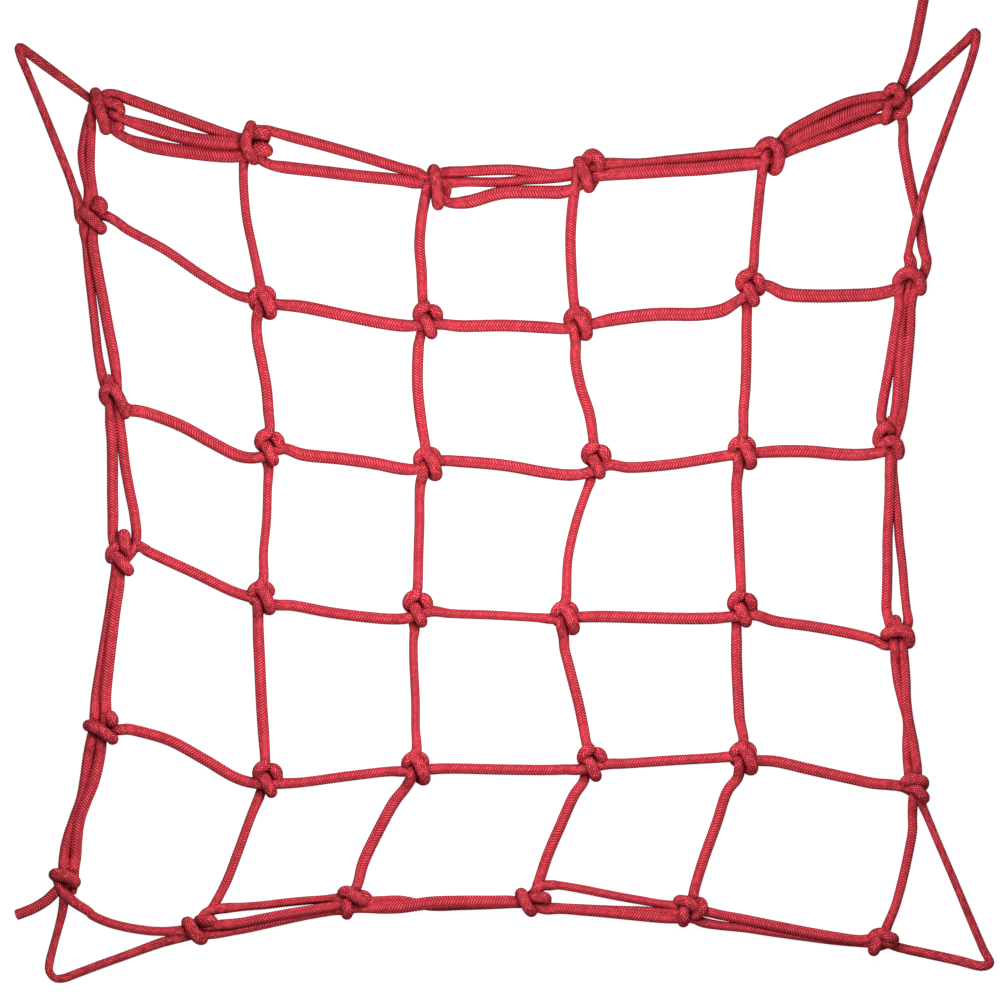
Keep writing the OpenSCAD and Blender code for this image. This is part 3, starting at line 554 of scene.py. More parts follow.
# Corner loops: the run from one knot out to the corner and back to the next knot, with heights and radii.
# The two root points are where the loop swings.
LOOPS = {
    "top_left": {
        "stops": (
            (98, 104, 12, 4), (91, 99, 10, 4), (85, 94.8, 6.5, 4), (80, 91, 4.6, 4.1), (66, 80.8, 4.7, 4.5),
            (45, 65.3, 5, 4.8), (29, 53.4, 5.5, 4.8), (19.5, 47.3, 9, 4.6), (20.5, 55, 13, 4.2),
            (28.3, 75, 9.5, 3.8), (39.7, 103, 5.5, 3.9), (53.7, 138, 4.4, 4.1), (69, 176, 6, 4.2),
            (72.8, 187, 9, 4.2), (77.2, 198, 13, 4.6), (79, 208, 16, 5), (80, 217, 15, 5), (84, 223, 10, 5),
        ),
        "roots": ((80, 89), (70, 176)),
        "apex": (21, 47),
        "band": "upper_band",
    },
    "top_right": {
        "stops": (
            (892, 108, 8, 5.2), (894, 113, 14, 5.2), (899, 114.5, 18, 5.4), (904.5, 110, 18.5, 5.4),
            (906.3, 103, 17, 5.2), (906, 96, 12.5, 5), (911, 90.5, 7, 4.7), (920, 82.8, 5, 4.6),
            (935, 69.2, 4.6, 4.5), (953, 52.6, 4.8, 4.6), (965, 41.5, 6, 4.7), (974.5, 32.5, 9.5, 4.7),
            (974.5, 42, 13.5, 4.4), (967.4, 69, 10, 4), (956.5, 99, 6, 3.9), (942.2, 138, 4.6, 4),
            (926.5, 181, 8, 4.1), (922, 195, 13, 4.1), (915, 219, 17.5, 4), (910, 238, 19, 3.7),
            (907.3, 251, 20, 3.8), (907.5, 257, 21, 5.6), (909, 263, 21, 6.2), (909, 271, 17, 6),
        ),
        "roots": ((920, 82), (926, 181)),
        "apex": (974, 33),
        "band": "upper_band",
    },
    "bottom_left": {
        "stops": (
            (64, 882, 12, 4.6), (63.8, 892, 12, 4.6), (63.2, 903, 8, 4.6), (61.5, 913, 5, 4.4),
            (59.3, 922, 4.4, 4.1), (55.8, 935, 4.2, 3.8), (51.5, 951, 4.4, 4), (49.2, 961, 5, 4.2),
            (48.8, 970, 7.5, 3.8), (54, 977, 9, 3.6), (61.5, 977.8, 9, 4.1), (80, 971.5, 6.5, 4.2),
            (102, 963.4, 4.6, 4.2), (124, 955.5, 4.4, 4.2), (160, 942.5, 5, 4.7), (178, 937.5, 8, 4.8),
            (188, 935, 11, 4.6), (198, 933, 11, 4.6),
        ),
        "roots": ((60, 921), (160, 943)),
        "apex": (52, 973),
        "band": "lower_band",
    },
    "bottom_right": {
        "stops": (
            (914, 792, 12, 4.6), (919, 800, 11, 4.4), (924, 810, 7, 3.9), (928, 819, 4.6, 3.7),
            (937.2, 841, 4, 3.6), (950, 871, 4, 3.6), (968.5, 915, 4.2, 3.8), (983, 949, 5, 4),
            (989, 962.5, 8.5, 4.3), (981, 965, 12.5, 4.7), (958, 960, 6.5, 4.8), (930, 954, 5, 4.8),
            (905, 948.6, 6, 4.6), (896, 946, 9, 4.6), (886, 942, 11, 4.6),
        ),
        "roots": ((927, 818), (905, 946.5)),
        "apex": (990, 962),
        "band": "lower_band",
    },
}

# Loose cut ends of the long cord, each from inside its knot to its tip, with the place where it leaves
TOP_RIGHT_TAIL = (
    (898, 92, 13), (903.5, 78, 12), (908, 66, 8), (912.5, 52, 5.2), (919, 21, 5.2), (923, 0, 5.2),
    (930, -34, 5.2),
)
BOTTOM_LEFT_TAIL = (
    (75, 879, 13), (64, 884, 13), (54, 892.5, 11), (46, 899.8, 8), (33.5, 907.5, 5.4), (24, 911.5, 5.4),
    (16, 914.5, 5.4),
)


class CordSizes(bpy.types.PropertyGroup):
    """Widths of the cords and size of their braid."""

    knot_width: bpy.props.FloatProperty(
        name="Knot width", description="Width of the cords that are tied round others in the knots",
        default=0.0112, unit="LENGTH",
    )
    bundle_width: bpy.props.FloatProperty(
        name="Bundle width", description="Width of the cords that are squeezed inside the border's knots",
        default=0.0100, unit="LENGTH",
    )
    tail_width: bpy.props.FloatProperty(
        name="Tail width", description="Width of the loose cut ends",
        default=0.0104, unit="LENGTH",
    )
    yarn_pitch: bpy.props.FloatProperty(
        name="Yarn pitch", description="Length of slack cord from one crossing yarn to the next",
        default=0.0028, unit="LENGTH",
    )
    yarn_relief: bpy.props.FloatProperty(
        name="Yarn relief", description="Height of a yarn above the gaps beside it",
        default=0.00055, unit="LENGTH",
    )


class CordColours(bpy.types.PropertyGroup):
    """Colours of the braid, from the painted shade between yarns to the painted highlight on their crowns."""

    # Painted shade: the dark colour deep between two yarns
    gap: bpy.props.FloatVectorProperty(
        name="Gap", description="Colour deep between two yarns",
        default=(0.30, 0.001, 0.014), subtype="COLOR",
    )
    yarn: bpy.props.FloatVectorProperty(
        name="Yarn", description="Colour of a yarn's sides",
        default=(0.80, 0.044, 0.072), subtype="COLOR",
    )
    # Painted highlight: the light colour on each yarn's crown stands in for light falling on it, not for
    # rubbing
    crown: bpy.props.FloatVectorProperty(
        name="Crown", description="Colour of a yarn's rubbed crown",
        default=(1.0, 0.155, 0.185), subtype="COLOR",
    )
    # Painted shade between cords and on sides and undersides: the share of the colour it takes away
    hollow_shade: bpy.props.FloatProperty(
        name="Hollow shade", description="Share of the colour that is lost between cords and on undersides",
        default=0.6, subtype="FACTOR",
    )


class StageSettings(bpy.types.PropertyGroup):
    """Camera, lamps and floor."""

    lens: bpy.props.FloatProperty(
        name="Lens", description="Focal length of the camera above the net, in millimetres",
        default=200.0,
    )
    key_power: bpy.props.FloatProperty(
        name="Key power", description="Power of the soft lamp above the net",
        default=8.9, unit="POWER",
    )
    fill: bpy.props.FloatProperty(
        name="Fill", description="Strength of the light that comes from all round",
        default=0.18,
    )
    floor_colour: bpy.props.FloatVectorProperty(
        name="Floor", description="Colour of the pale floor",
        default=(0.3, 0.3, 0.3), subtype="COLOR",
    )
    floor_glow: bpy.props.FloatProperty(
        name="Floor glow", description="Share of white that the camera sees in the floor",
        default=0.94, subtype="FACTOR",
    )


def place(x, y, height=0.0):
    """A point of the board, in millimetres, as a point of the model, in metres."""
    return ((x - BOARD_MIDDLE[0]) * MM, (BOARD_MIDDLE[1] - y) * MM, height * MM)


def in_knot(row, number, offsets):
    """Offsets from a knot's middle as stops on the board, those above the strands inside it squeezed down."""
    x, y = KNOTS[row][number]
    stops = []
    for right, down, height, *radius in offsets:
        squeezed = height - KNOT_SQUEEZE * max(0, height - STRAND_HEIGHT)
        stops.append((x + right, y + down, squeezed, *radius))
    return stops


def with_radius(stops, radius):
    """Stops with a radius given to those that have none of their own."""
    return [(*stop[:3], *(stop[3:] or (radius,))) for stop in stops]


def on_floor(way):
    """A way as stops that lie on the floor, or a lift above it where the way gives one, unstretched."""
    width, points = way
    return [(x, y, width / 2 + sum(lift), width / 2, 1.0) for x, y, *lift in points]


def border_run(route):
    """A border strand's route, of ways and of places in knots, as one run of stops."""
    run = []
    for step in route:
        run += in_knot(*step[0], step[1]) if isinstance(step[0], tuple) else on_floor(step)
    return run


def smooth_run(run, radius, stretch, spacing):
    """Points about one spacing apart on a centripetal curve through a run of stops."""
    usual = (0.0, 0.0, 0.0, radius, stretch)
    stops = np.array([(*stop, *usual[len(stop):]) for stop in run], float)
    stops = np.vstack([2 * stops[0] - stops[1], stops, 2 * stops[-1] - stops[-2]])
    points = []
    for a, b, c, d in zip(stops[:-3], stops[1:-2], stops[2:-1], stops[3:]):
        gaps = [max(np.linalg.norm((q - p)[:3]), SHORTEST_STEP) for p, q in ((a, b), (b, c), (c, d))]
        t0 = 0.0
        t1 = t0 + math.sqrt(gaps[0])
        t2 = t1 + math.sqrt(gaps[1])
        t3 = t2 + math.sqrt(gaps[2])
        count = max(2, math.ceil(gaps[1] / spacing))
        t = np.linspace(t1, t2, count, endpoint=False)[:, None]
        ab = ((t1 - t) * a + (t - t0) * b) / (t1 - t0)
        bc = ((t2 - t) * b + (t - t1) * c) / (t2 - t1)
        cd = ((t3 - t) * c + (t - t2) * d) / (t3 - t2)
        abc = ((t2 - t) * ab + (t - t0) * bc) / (t2 - t0)
        bcd = ((t3 - t) * bc + (t - t1) * cd) / (t3 - t1)
        points.append(((t2 - t) * abc + (t - t1) * bcd) / (t2 - t1))
    points.append(stops[-2][None])
    path = np.vstack(points)
    path[:, 2] = np.maximum(path[:, 2], path[:, 3])
    return path


def even_rings(path, pitch):
    """Ring centres, radii and stretches along a path, and their counts of yarns, evenly on the slack cord."""
    steps = np.linalg.norm(np.diff(path[:, :3], axis=0), axis=1)
    stretch = (path[1:, 4] + path[:-1, 4]) / 2
    yarns = np.concatenate([[0.0], np.cumsum(steps / stretch)]) / pitch
    count = max(3, round(yarns[-1] * RINGS_PER_YARN) + 1)
    wanted = np.linspace(0.0, yarns[-1], count)
    rings = np.column_stack([np.interp(wanted, yarns, path[:, k]) for k in range(5)])
    return rings, wanted


def ring_axes(centres):
    """Tangent and two side axes of each ring, carried along the cord without twist."""
    tangents = np.gradient(centres, axis=0)
    tangents /= np.linalg.norm(tangents, axis=1)[:, None]
    side = np.array((0.0, 0.0, 1.0)) if abs(tangents[0][2]) < STEEP else np.array((1.0, 0.0, 0.0))
    sides = []
    for tangent in tangents:
        side = side - tangent * (side @ tangent)
        side = side / np.linalg.norm(side)
        sides.append(side)
    sides = np.array(sides)
    return tangents, sides, np.cross(tangents, sides)


def yarn_height(around, along, columns):
    """Height of the braid, 0 in the gaps and 1 on the crowns, at a share of the turn and a yarn count."""
    column = np.floor(around * columns)
    across = around * columns - column - 0.5
    odd = column % 2
    phase = along + (1 - 2 * odd) * across * YARN_LEAN + 0.5 * odd
    beside = phase - np.floor(phase) - 0.5
    crown = 0.5 + 0.5 * np.cos(2 * math.pi * beside)
    return crown * (1 - 0.5 * (2 * across) ** 2)


def tube_faces(yarns):
    """Faces of a tube with a ring at each count of yarns and two capped ends, and their corners' map."""
    count = FACES_ROUND
    ring = np.arange(count)
    after = (ring + 1) % count
    low = (ring + 0.5) / count
    high = low + 1 / count
    rows = np.arange(len(yarns) - 1)[:, None] * count
    quads = np.stack([rows + ring, rows + after, rows + count + after, rows + count + ring], axis=-1)
    u = np.stack([low, high, high, low], axis=-1)
    v = np.stack([yarns[:-1], yarns[:-1], yarns[1:], yarns[1:]], axis=-1)
    quad_map = np.stack(np.broadcast_arrays(u[None, :, :], v[:, None, :]), axis=-1)
    faces = quads.reshape(-1, 4).tolist()
    maps = quad_map.reshape(-1, 2).tolist()
    for number, base in ((0, 0), (1, (len(yarns) - 1) * count)):
        rim = len(yarns) * count + number * (count + 1)
        tip = rim + count
        end = yarns[-number]
        rim_end = end + CAP_RIM_YARNS
        for k, follows in enumerate(after.tolist()):
            edge = [base + k, base + follows, rim + follows, rim + k]
            fan = [rim + k, rim + follows, tip]
            edge_map = [[low[k], end], [high[k], end], [high[k], rim_end], [low[k], rim_end]]
            fan_map = [[low[k], rim_end], [high[k], rim_end], [low[k], end + CAP_TIP_YARNS]]
            if number == 0:
                for corners in (edge, fan, edge_map, fan_map):
                    corners.reverse()
            faces += [edge, fan]
            maps += edge_map + fan_map
    return faces, maps


def braided_tube(path, sizes, turn):
    """Vertices, faces, map and pull of one closed braided tube along a path, in metres."""
    rings, yarns = even_rings(path, sizes.yarn_pitch / MM)
    tangents, sides, ups = ring_axes(rings[:, :3] * (1, -1, 1))
    pull = np.clip(np.abs(rings[:, 4] - 1) / abs(KNOT_STRETCH - 1), 0.0, 1.0)
    around = (np.arange(FACES_ROUND) + 0.5) / FACES_ROUND
    angle = 2 * math.pi * (around + turn)
    slack = yarn_height(around[None, :], yarns[:, None], SLACK_COLUMNS)
    tight = yarn_height(around[None, :], yarns[:, None], KNOT_COLUMNS)
    height = slack + (tight - slack) * pull[:, None]
    reach = rings[:, 3:4] + sizes.yarn_relief / MM * (height - YARN_SUNK)
    centres = (rings[:, :3] - (*BOARD_MIDDLE, 0)) * (1, -1, 1)
    out = sides[:, None, :] * np.cos(angle)[None, :, None] + ups[:, None, :] * np.sin(angle)[None, :, None]
    body = centres[:, None, :] + out * reach[:, :, None]
    caps = []
    for end, way in ((0, -1), (-1, 1)):
        beyond = way * tangents[end] * rings[end, 3]
        rim = centres[end] + out[end] * rings[end, 3] * CAP_RIM + beyond * CAP_RIM_OUT
        tip = centres[end] + beyond * CAP_TIP_OUT
        caps += [rim, tip[None, :]]
    vertices = np.vstack([body.reshape(-1, 3), *caps]) * MM
    vertices[:, 2] = np.maximum(vertices[:, 2], 0.0)
    cap_pulls = np.repeat(pull[[0, -1]], FACES_ROUND + 1)
    pulls = np.concatenate([np.repeat(pull, FACES_ROUND), cap_pulls])
    return vertices, *tube_faces(yarns), pulls


def lay_cord(node, runs, width, stretch=KNOT_STRETCH, nodes=()):
    """Makes the braided piece of one CAD node, of one or more runs of stops, in the cord's finish.

    The width and the stretch are for the stops that give none of their own."""
    scene = bpy.context.scene
    sizes = scene.net_sizes
    vertices = []
    faces = []
    maps = []
    pulls = []
    for number, run in enumerate(runs):
        turn = (sum(map(ord, node)) * TURN_PER_LETTER_CODE + number * TURN_PER_RUN) % 1.0
        path = smooth_run(run, width / MM / 2, stretch, ROUTE_SPACING)
        tube_vertices, tube_face_list, tube_map, tube_pulls = braided_tube(path, sizes, turn)
        first = sum(map(len, vertices))
        vertices.append(tube_vertices)
        faces += [[first + corner for corner in face] for face in tube_face_list]
        maps += tube_map
        pulls.append(tube_pulls)
    mesh = bpy.data.meshes.new(node + "_braid")
    mesh.from_pydata(np.vstack(vertices).tolist(), [], faces)
    layer = mesh.uv_layers.new(name="braid")
    layer.data.foreach_set("uv", np.array(maps, np.float32).ravel())
    pulled = mesh.attributes.new("pull", "FLOAT", "POINT")
    pulled.data.foreach_set("value", np.concatenate(pulls).astype(np.float32))
    mesh.shade_smooth()
    mesh.materials.append(cord_finish())
    piece = bpy.data.objects.new(node + "_braid", mesh)
    scene.collection.objects.link(piece)
    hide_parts(node, *nodes)
    return piece


def cord_rings(mesh):
    """The places and the normals of a braided mesh, ring by ring."""
    count = len(mesh.vertices)
    rings = []
    for source, name in ((mesh.vertices, "co"), (mesh.vertex_normals, "vector")):
        values = np.empty(count * 3, np.float32)
        source.foreach_get(name, values)
        values = np.pad(values.reshape(-1, 3), ((0, -count % FACES_ROUND), (0, 0)), mode="edge")
        rings.append(values.reshape(-1, FACES_ROUND, 3))
    return rings


def hidden_share(places, normals, balls, radii, weights):
    """How much of what each place of a ring faces is taken up by balls of other cords, for the painted shade.
    """
    way = balls[None, :, :] - places[:, None, :]
    distance = np.maximum(np.linalg.norm(way, axis=2), NEAREST_BALL)
    facing = np.maximum(np.einsum("pbk,pk->pb", way, normals) / distance, 0.0)
    taken = weights * np.minimum((radii / distance) ** 2, 1.0) * facing
    return np.clip(taken.sum(axis=1), 0.0, 1.0)


def bend_at_fold(piece, band):
    """Carries a piece on its band when that is the last band; a piece of any other band is only baked in
    place.
    """
    if band == len(FOLDS):
        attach(piece, BANDS[band])
        return
    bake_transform(piece)


def add_node(tree, kind, **inputs):
    """A shader node with some of its inputs set."""
    node = tree.nodes.new("ShaderNode" + kind)
    for name, value in inputs.items():
        node.inputs[name].default_value = value
    return node


def add_math(tree, operation, *values):
    """A math node with its inputs linked or set, as its result."""
    node = add_node(tree, "Math")
    node.operation = operation
    for socket, value in zip(node.inputs, values):
        if isinstance(value, bpy.types.NodeSocket):
            tree.links.new(value, socket)
        else:
            socket.default_value = value
    return node.outputs[0]


def braid_group():
    """Node group: the height of the braid on the cord's own map, and a chance value for each yarn."""
    name = "Braided yarns"
    if name in bpy.data.node_groups:
        return bpy.data.node_groups[name]
    tree = bpy.data.node_groups.new(name, "ShaderNodeTree")
    sockets = (("Columns", "INPUT"), ("Lean", "INPUT"), ("Height", "OUTPUT"), ("Chance", "OUTPUT"))
    for socket, direction in sockets:
        tree.interface.new_socket(socket, in_out=direction, socket_type="NodeSocketFloat")
    given = tree.nodes.new("NodeGroupInput")
    result = tree.nodes.new("NodeGroupOutput")
    cord_map = add_node(tree, "UVMap")
    cord_map.uv_map = "braid"
    parts = add_node(tree, "SeparateXYZ")
    tree.links.new(cord_map.outputs["UV"], parts.inputs[0])
    columns = add_math(tree, "MULTIPLY", parts.outputs["X"], given.outputs["Columns"])
    column = add_math(tree, "FLOOR", columns)
    across = add_math(tree, "SUBTRACT", add_math(tree, "FRACT", columns), 0.5)
    odd = add_math(tree, "FLOORED_MODULO", column, 2.0)
    way = add_math(tree, "MULTIPLY_ADD", odd, -2.0, 1.0)
    lean = add_math(tree, "MULTIPLY", add_math(tree, "MULTIPLY", across, way), given.outputs["Lean"])
    phase = add_math(tree, "ADD", parts.outputs["Y"], add_math(tree, "MULTIPLY_ADD", odd, 0.5, lean))
    beside = add_math(tree, "SUBTRACT", add_math(tree, "FRACT", phase), 0.5)
    wave = add_math(tree, "COSINE", add_math(tree, "MULTIPLY", beside, 2 * math.pi))
    crown = add_math(tree, "MULTIPLY_ADD", wave, 0.5, 0.5)
    dip = add_math(tree, "MULTIPLY", add_math(tree, "MULTIPLY", across, across), -2.0)
    height = add_math(tree, "MULTIPLY", crown, add_math(tree, "ADD", dip, 1.0))
    tree.links.new(height, result.inputs["Height"])
    yarn = add_node(tree, "CombineXYZ")
    tree.links.new(add_math(tree, "FLOORED_MODULO", column, given.outputs["Columns"]), yarn.inputs["X"])
    tree.links.new(add_math(tree, "FLOOR", phase), yarn.inputs["Y"])
    chance = add_node(tree, "TexWhiteNoise")
    tree.links.new(yarn.outputs[0], chance.inputs["Vector"])
    tree.links.new(chance.outputs["Value"], result.inputs["Chance"])
    return tree


def add_braid(tree, columns):
    """The braid's node group in a tree, for a number of columns round the cord."""
    braid = add_node(tree, "Group")
    braid.node_tree = braid_group()
    braid.inputs["Columns"].default_value = columns
    braid.inputs["Lean"].default_value = YARN_LEAN
    return braid


def add_mix(tree, share, first, second):
    """A mix of two values by a share, as its result."""
    return add_math(tree, "MULTIPLY_ADD", add_math(tree, "SUBTRACT", second, first), share, first)


def add_attribute(tree, name):
    """The value of a mesh attribute, as a result."""
    attribute = add_node(tree, "Attribute")
    attribute.attribute_name = name
    return attribute.outputs["Fac"]


def add_noise(tree, scale, detail):
    """Noise in the cord's own space, as its result."""
    noise = add_node(tree, "TexNoise", Scale=scale, Detail=detail)
    tree.links.new(add_node(tree, "TexCoord").outputs["Object"], noise.inputs["Vector"])
    return noise.outputs["Fac"]


def add_braid_colour(tree, level, colours):
    """The colour at a level of the braid, from the gap's painted shade by way of the yarn to the crown's
    painted highlight, as its result.
    """
    ramp = add_node(tree, "ValToRGB")
    lowest, highest = ramp.color_ramp.elements
    lowest.position = GAP_LEVEL
    lowest.color = (*colours.gap, 1.0)
    highest.position = CROWN_LEVEL
    highest.color = (*colours.crown, 1.0)
    ramp.color_ramp.elements.new(YARN_LEVEL).color = (*colours.yarn, 1.0)
    tree.links.new(level, ramp.inputs["Fac"])
    return ramp.outputs["Color"]


def cord_finish():
    """The red braided sheath: painted shade in its gaps, between cords and on undersides, painted highlights
    on its crowns, and yarns that differ a little.
    """
    name = "Red braided sheath"
    if name in bpy.data.materials:
        return bpy.data.materials[name]
    colours = bpy.context.scene.net_colours
    material = bpy.data.materials.new(name)
    material.use_nodes = True
    tree = material.node_tree
    surface = tree.nodes["Principled BSDF"]
    pull = add_attribute(tree, "pull")
    # Painted shade between cords and on sides and undersides, read from a mesh attribute
    painted_shade = add_attribute(tree, "painted_shade")
    slack = add_braid(tree, SLACK_COLUMNS)
    tight = add_braid(tree, KNOT_COLUMNS)
    height = add_mix(tree, pull, slack.outputs["Height"], tight.outputs["Height"])
    chance = add_mix(tree, pull, slack.outputs["Chance"], tight.outputs["Chance"])
    fibres = add_noise(tree, FIBRE_SCALE, FIBRE_DETAIL)
    dye = add_noise(tree, DYE_SCALE, DYE_DETAIL)
    worn = add_math(tree, "MULTIPLY_ADD", fibres, FIBRE_WEAR, -FIBRE_WEAR / 2)
    # The painted shade also moves the braid's colour down towards the gap's colour
    painted_shade_drop = add_math(tree, "MULTIPLY", painted_shade, -PAINTED_SHADE_SINK)
    level = add_math(tree, "ADD", add_math(tree, "ADD", height, worn), painted_shade_drop)
    spread = add_math(tree, "MULTIPLY_ADD", pull, KNOT_SPREAD, SLACK_SPREAD)
    shade = add_math(tree, "MULTIPLY_ADD", add_math(tree, "SUBTRACT", chance, 0.5), spread, 1.0)
    fade = add_math(tree, "MULTIPLY_ADD", dye, DYE_FADE, -DYE_FADE / 2)
    # The painted shade takes colour away where it lies
    lit = add_math(tree, "MULTIPLY_ADD", painted_shade, -colours.hollow_shade, 1.0)
    tone = add_math(tree, "MULTIPLY", add_math(tree, "ADD", shade, fade), lit)
    tint = add_node(tree, "HueSaturation")
    tree.links.new(add_braid_colour(tree, level, colours), tint.inputs["Color"])
    tree.links.new(tone, tint.inputs["Value"])
    tree.links.new(tint.outputs["Color"], surface.inputs["Base Color"])
    rough = add_math(tree, "MULTIPLY_ADD", height, -CROWN_POLISH, GAP_ROUGHNESS)
    tree.links.new(rough, surface.inputs["Roughness"])
    surface.inputs["Specular IOR Level"].default_value = SHEATH_SHINE
    relief = add_math(tree, "MULTIPLY_ADD", fibres, FIBRE_LIFT, height)
    bump = add_node(tree, "Bump", Strength=BUMP_STRENGTH, Distance=BUMP_HEIGHT)
    tree.links.new(relief, bump.inputs["Height"])
    tree.links.new(bump.outputs["Normal"], surface.inputs["Normal"])
    return material


def column_knot(row, number):
    """The stops of a column's cord into and out of one knot inside the net."""
    above, below = PASSES[row - 1][number - 1][2:]
    if (row + number) % 2 == 0:
        into = ((above, ABOVE, *COLUMN_PASS), *BAND_KNOT_IN)
        out = (*BAND_KNOT_OUT, (below, BELOW, *BAND_KNOT_PASS))
    else:
        into = ((above, ABOVE, *COLUMN_PASS), *LOBE_KNOT_IN)
        out = (*LOBE_KNOT_OUT, (below, BELOW, *LOBE_KNOT_PASS))
    return in_knot(row, number, into), in_knot(row, number, out)


def column_run(number, band):
    """One column cord's run in one band: out of the band's knot and into the next band's knot."""
    ways = COLUMN_WAYS[number - 1]
    row = band + 1
    into, out = column_knot(row, number)
    run = []
    if band == 0:
        run += in_knot(0, number, TOP_WRAPS[number - 1])[::-1]
        run += on_floor(ways[0])
        run += into[:-1]
    run += out + on_floor(ways[row])
    if band < len(FOLDS):
        run += column_knot(row + 1, number)[0]
    else:
        run += in_knot(LAST, number, BOTTOM_WRAPS[number - 1])
    return run


def row_run(row):
    """One row cord's run, from its knot on the left border to its knot on the right one."""
    ways = ROW_WAYS[row - 1]
    run = in_knot(row, 0, LEFT_WRAPS[row - 1])[::-1] + on_floor(ways[0])
    for number in INNER:
        left, right = PASSES[row - 1][number - 1][:2]
        run += in_knot(row, number, ((-ROW_REACH, left, *ROW_PASS), (ROW_REACH, right, *ROW_PASS)))
        run += on_floor(ways[number])
    return run + in_knot(row, LAST, RIGHT_WRAPS[row - 1])


def side_run(side, ways, places, band):
    """One side border strand's run in one band, from its knot across the fold into the next knot."""
    row = band + 1
    run = []
    if band == 0:
        run += on_floor(ways[0])
        run += in_knot(1, side, places[0][:1])
    run += in_knot(row, side, places[band][1:])
    if row < len(ways):
        run += on_floor(ways[row])
    if row < len(places):
        run += in_knot(row + 1, side, places[row] if row == len(BANDS) else places[row][:2])
    return run


class NET_OT_lay_loose_ends(bpy.types.Operator):
    """Lays the two loose cut ends of the long cord."""

    bl_idname = "net.lay_loose_ends"
    bl_label = "Lay loose ends"

    def execute(self, context):
        width = context.scene.net_sizes.tail_width
        ends = (
            ("top_right_tail", TOP_RIGHT_TAIL, 1, "upper_band"),
            ("bottom_left_tail", BOTTOM_LEFT_TAIL, 2, "lower_band"),
        )
        for node, stops, leaves, band in ends:
            piece = lay_cord(node, [stops], width, 1.0)
            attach(piece, band)
            path = smooth_run(stops, width / MM / 2, 1.0, PATH_SPACING)
        return {"FINISHED"}


class NET_OT_fold_corner_loops(bpy.types.Operator):
    """Lays the four corner loops, each from one knot to the next."""

    bl_idname = "net.fold_corner_loops"
    bl_label = "Fold corner loops"

    def execute(self, context):
        width = context.scene.net_sizes.bundle_width
        shared = {"top_left": ("upper_loop_ends",), "bottom_left": ("lower_loop_ends",)}
        for corner, loop in LOOPS.items():
            node = corner + "_loop"
            piece = lay_cord(node, [loop["stops"]], width, LOOP_STRETCH, shared.get(corner, ()))
            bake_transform(piece)
        return {"FINISHED"}


class NET_OT_lay_rows(bpy.types.Operator):
    """Lays the four rows, tied round the left border, through the net's knots and round the right border."""

    bl_idname = "net.lay_rows"
    bl_label = "Lay rows"

    def execute(self, context):
        width = context.scene.net_sizes.knot_width
        for row in INNER:
            piece = lay_cord(f"row_{row}_cord", [row_run(row)], width)
            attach(piece, BANDS[row - 1])
        return {"FINISHED"}


class NET_OT_knot_columns(bpy.types.Operator):
    """Lays the four columns and ties them round the top border, the rows and the bottom border."""

    bl_idname = "net.knot_columns"
    bl_label = "Knot columns"

    def execute(self, context):
        width = context.scene.net_sizes.knot_width
        for number in INNER:
            for band, word in enumerate(BAND_WORDS):
                piece = lay_cord(f"column_{number}_{word}", [column_run(number, band)], width)
                bend_at_fold(piece, band)
        return {"FINISHED"}


class NET_OT_bundle_top_border(bpy.types.Operator):
    """Lays the strands of the top border."""

    bl_idname = "net.bundle_top_border"
    bl_label = "Bundle top border"

    def execute(self, context):
        width = context.scene.net_sizes.bundle_width
        strands = (("upper", (TOP_UPPER,)), ("middle", TOP_MIDDLE), ("lower", (TOP_LOWER,)))
        for word, routes in strands:
            piece = lay_cord(f"top_border_{word}", [border_run(route) for route in routes], width)
            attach(piece, BANDS[0])
        return {"FINISHED"}


class NET_OT_bundle_bottom_border(bpy.types.Operator):
    """Lays the strands of the bottom border, one of them tied into the bottom left knot."""

    bl_idname = "net.bundle_bottom_border"
    bl_label = "Bundle bottom border"

    def execute(self, context):
        sizes = context.scene.net_sizes
        tied = with_radius(in_knot(LAST, 0, BOTTOM_LEFT_WRAP)[::-1], sizes.knot_width / MM / 2)
        lower = tied + border_run(BOTTOM_LOWER)
        upper = [border_run(route) for route in BOTTOM_UPPER]
        width = sizes.bundle_width
        strands = (("upper", upper), ("middle", [border_run(BOTTOM_MIDDLE)]), ("lower", [lower]))
        for word, runs in strands:
            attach(lay_cord(f"bottom_border_{word}", runs, width), BANDS[-1])
        return {"FINISHED"}


class NET_OT_bundle_left_border(bpy.types.Operator):
    """Lays the two strands of the left border, the inner one tied into the top left knot."""

    bl_idname = "net.bundle_left_border"
    bl_label = "Bundle left border"

    def execute(self, context):
        sizes = context.scene.net_sizes
        width = sizes.bundle_width
        start = in_knot(0, 0, LEFT_OUTER_START)
        tied = with_radius(in_knot(0, 0, TOP_LEFT_WRAP)[::-1], sizes.knot_width / MM / 2)
        for band, word in enumerate(BAND_WORDS):
            outer = side_run(0, LEFT_OUTER_WAYS, LEFT_OUTER_PLACES, band)
            inner = side_run(0, LEFT_INNER_WAYS, LEFT_INNER_PLACES, band)
            if band == 0:
                outer = start + outer
                inner = tied + inner
            bend_at_fold(lay_cord(f"left_border_{word}_outer", [outer], width), band)
            bend_at_fold(lay_cord(f"left_border_{word}_inner", [inner], width), band)
        return {"FINISHED"}


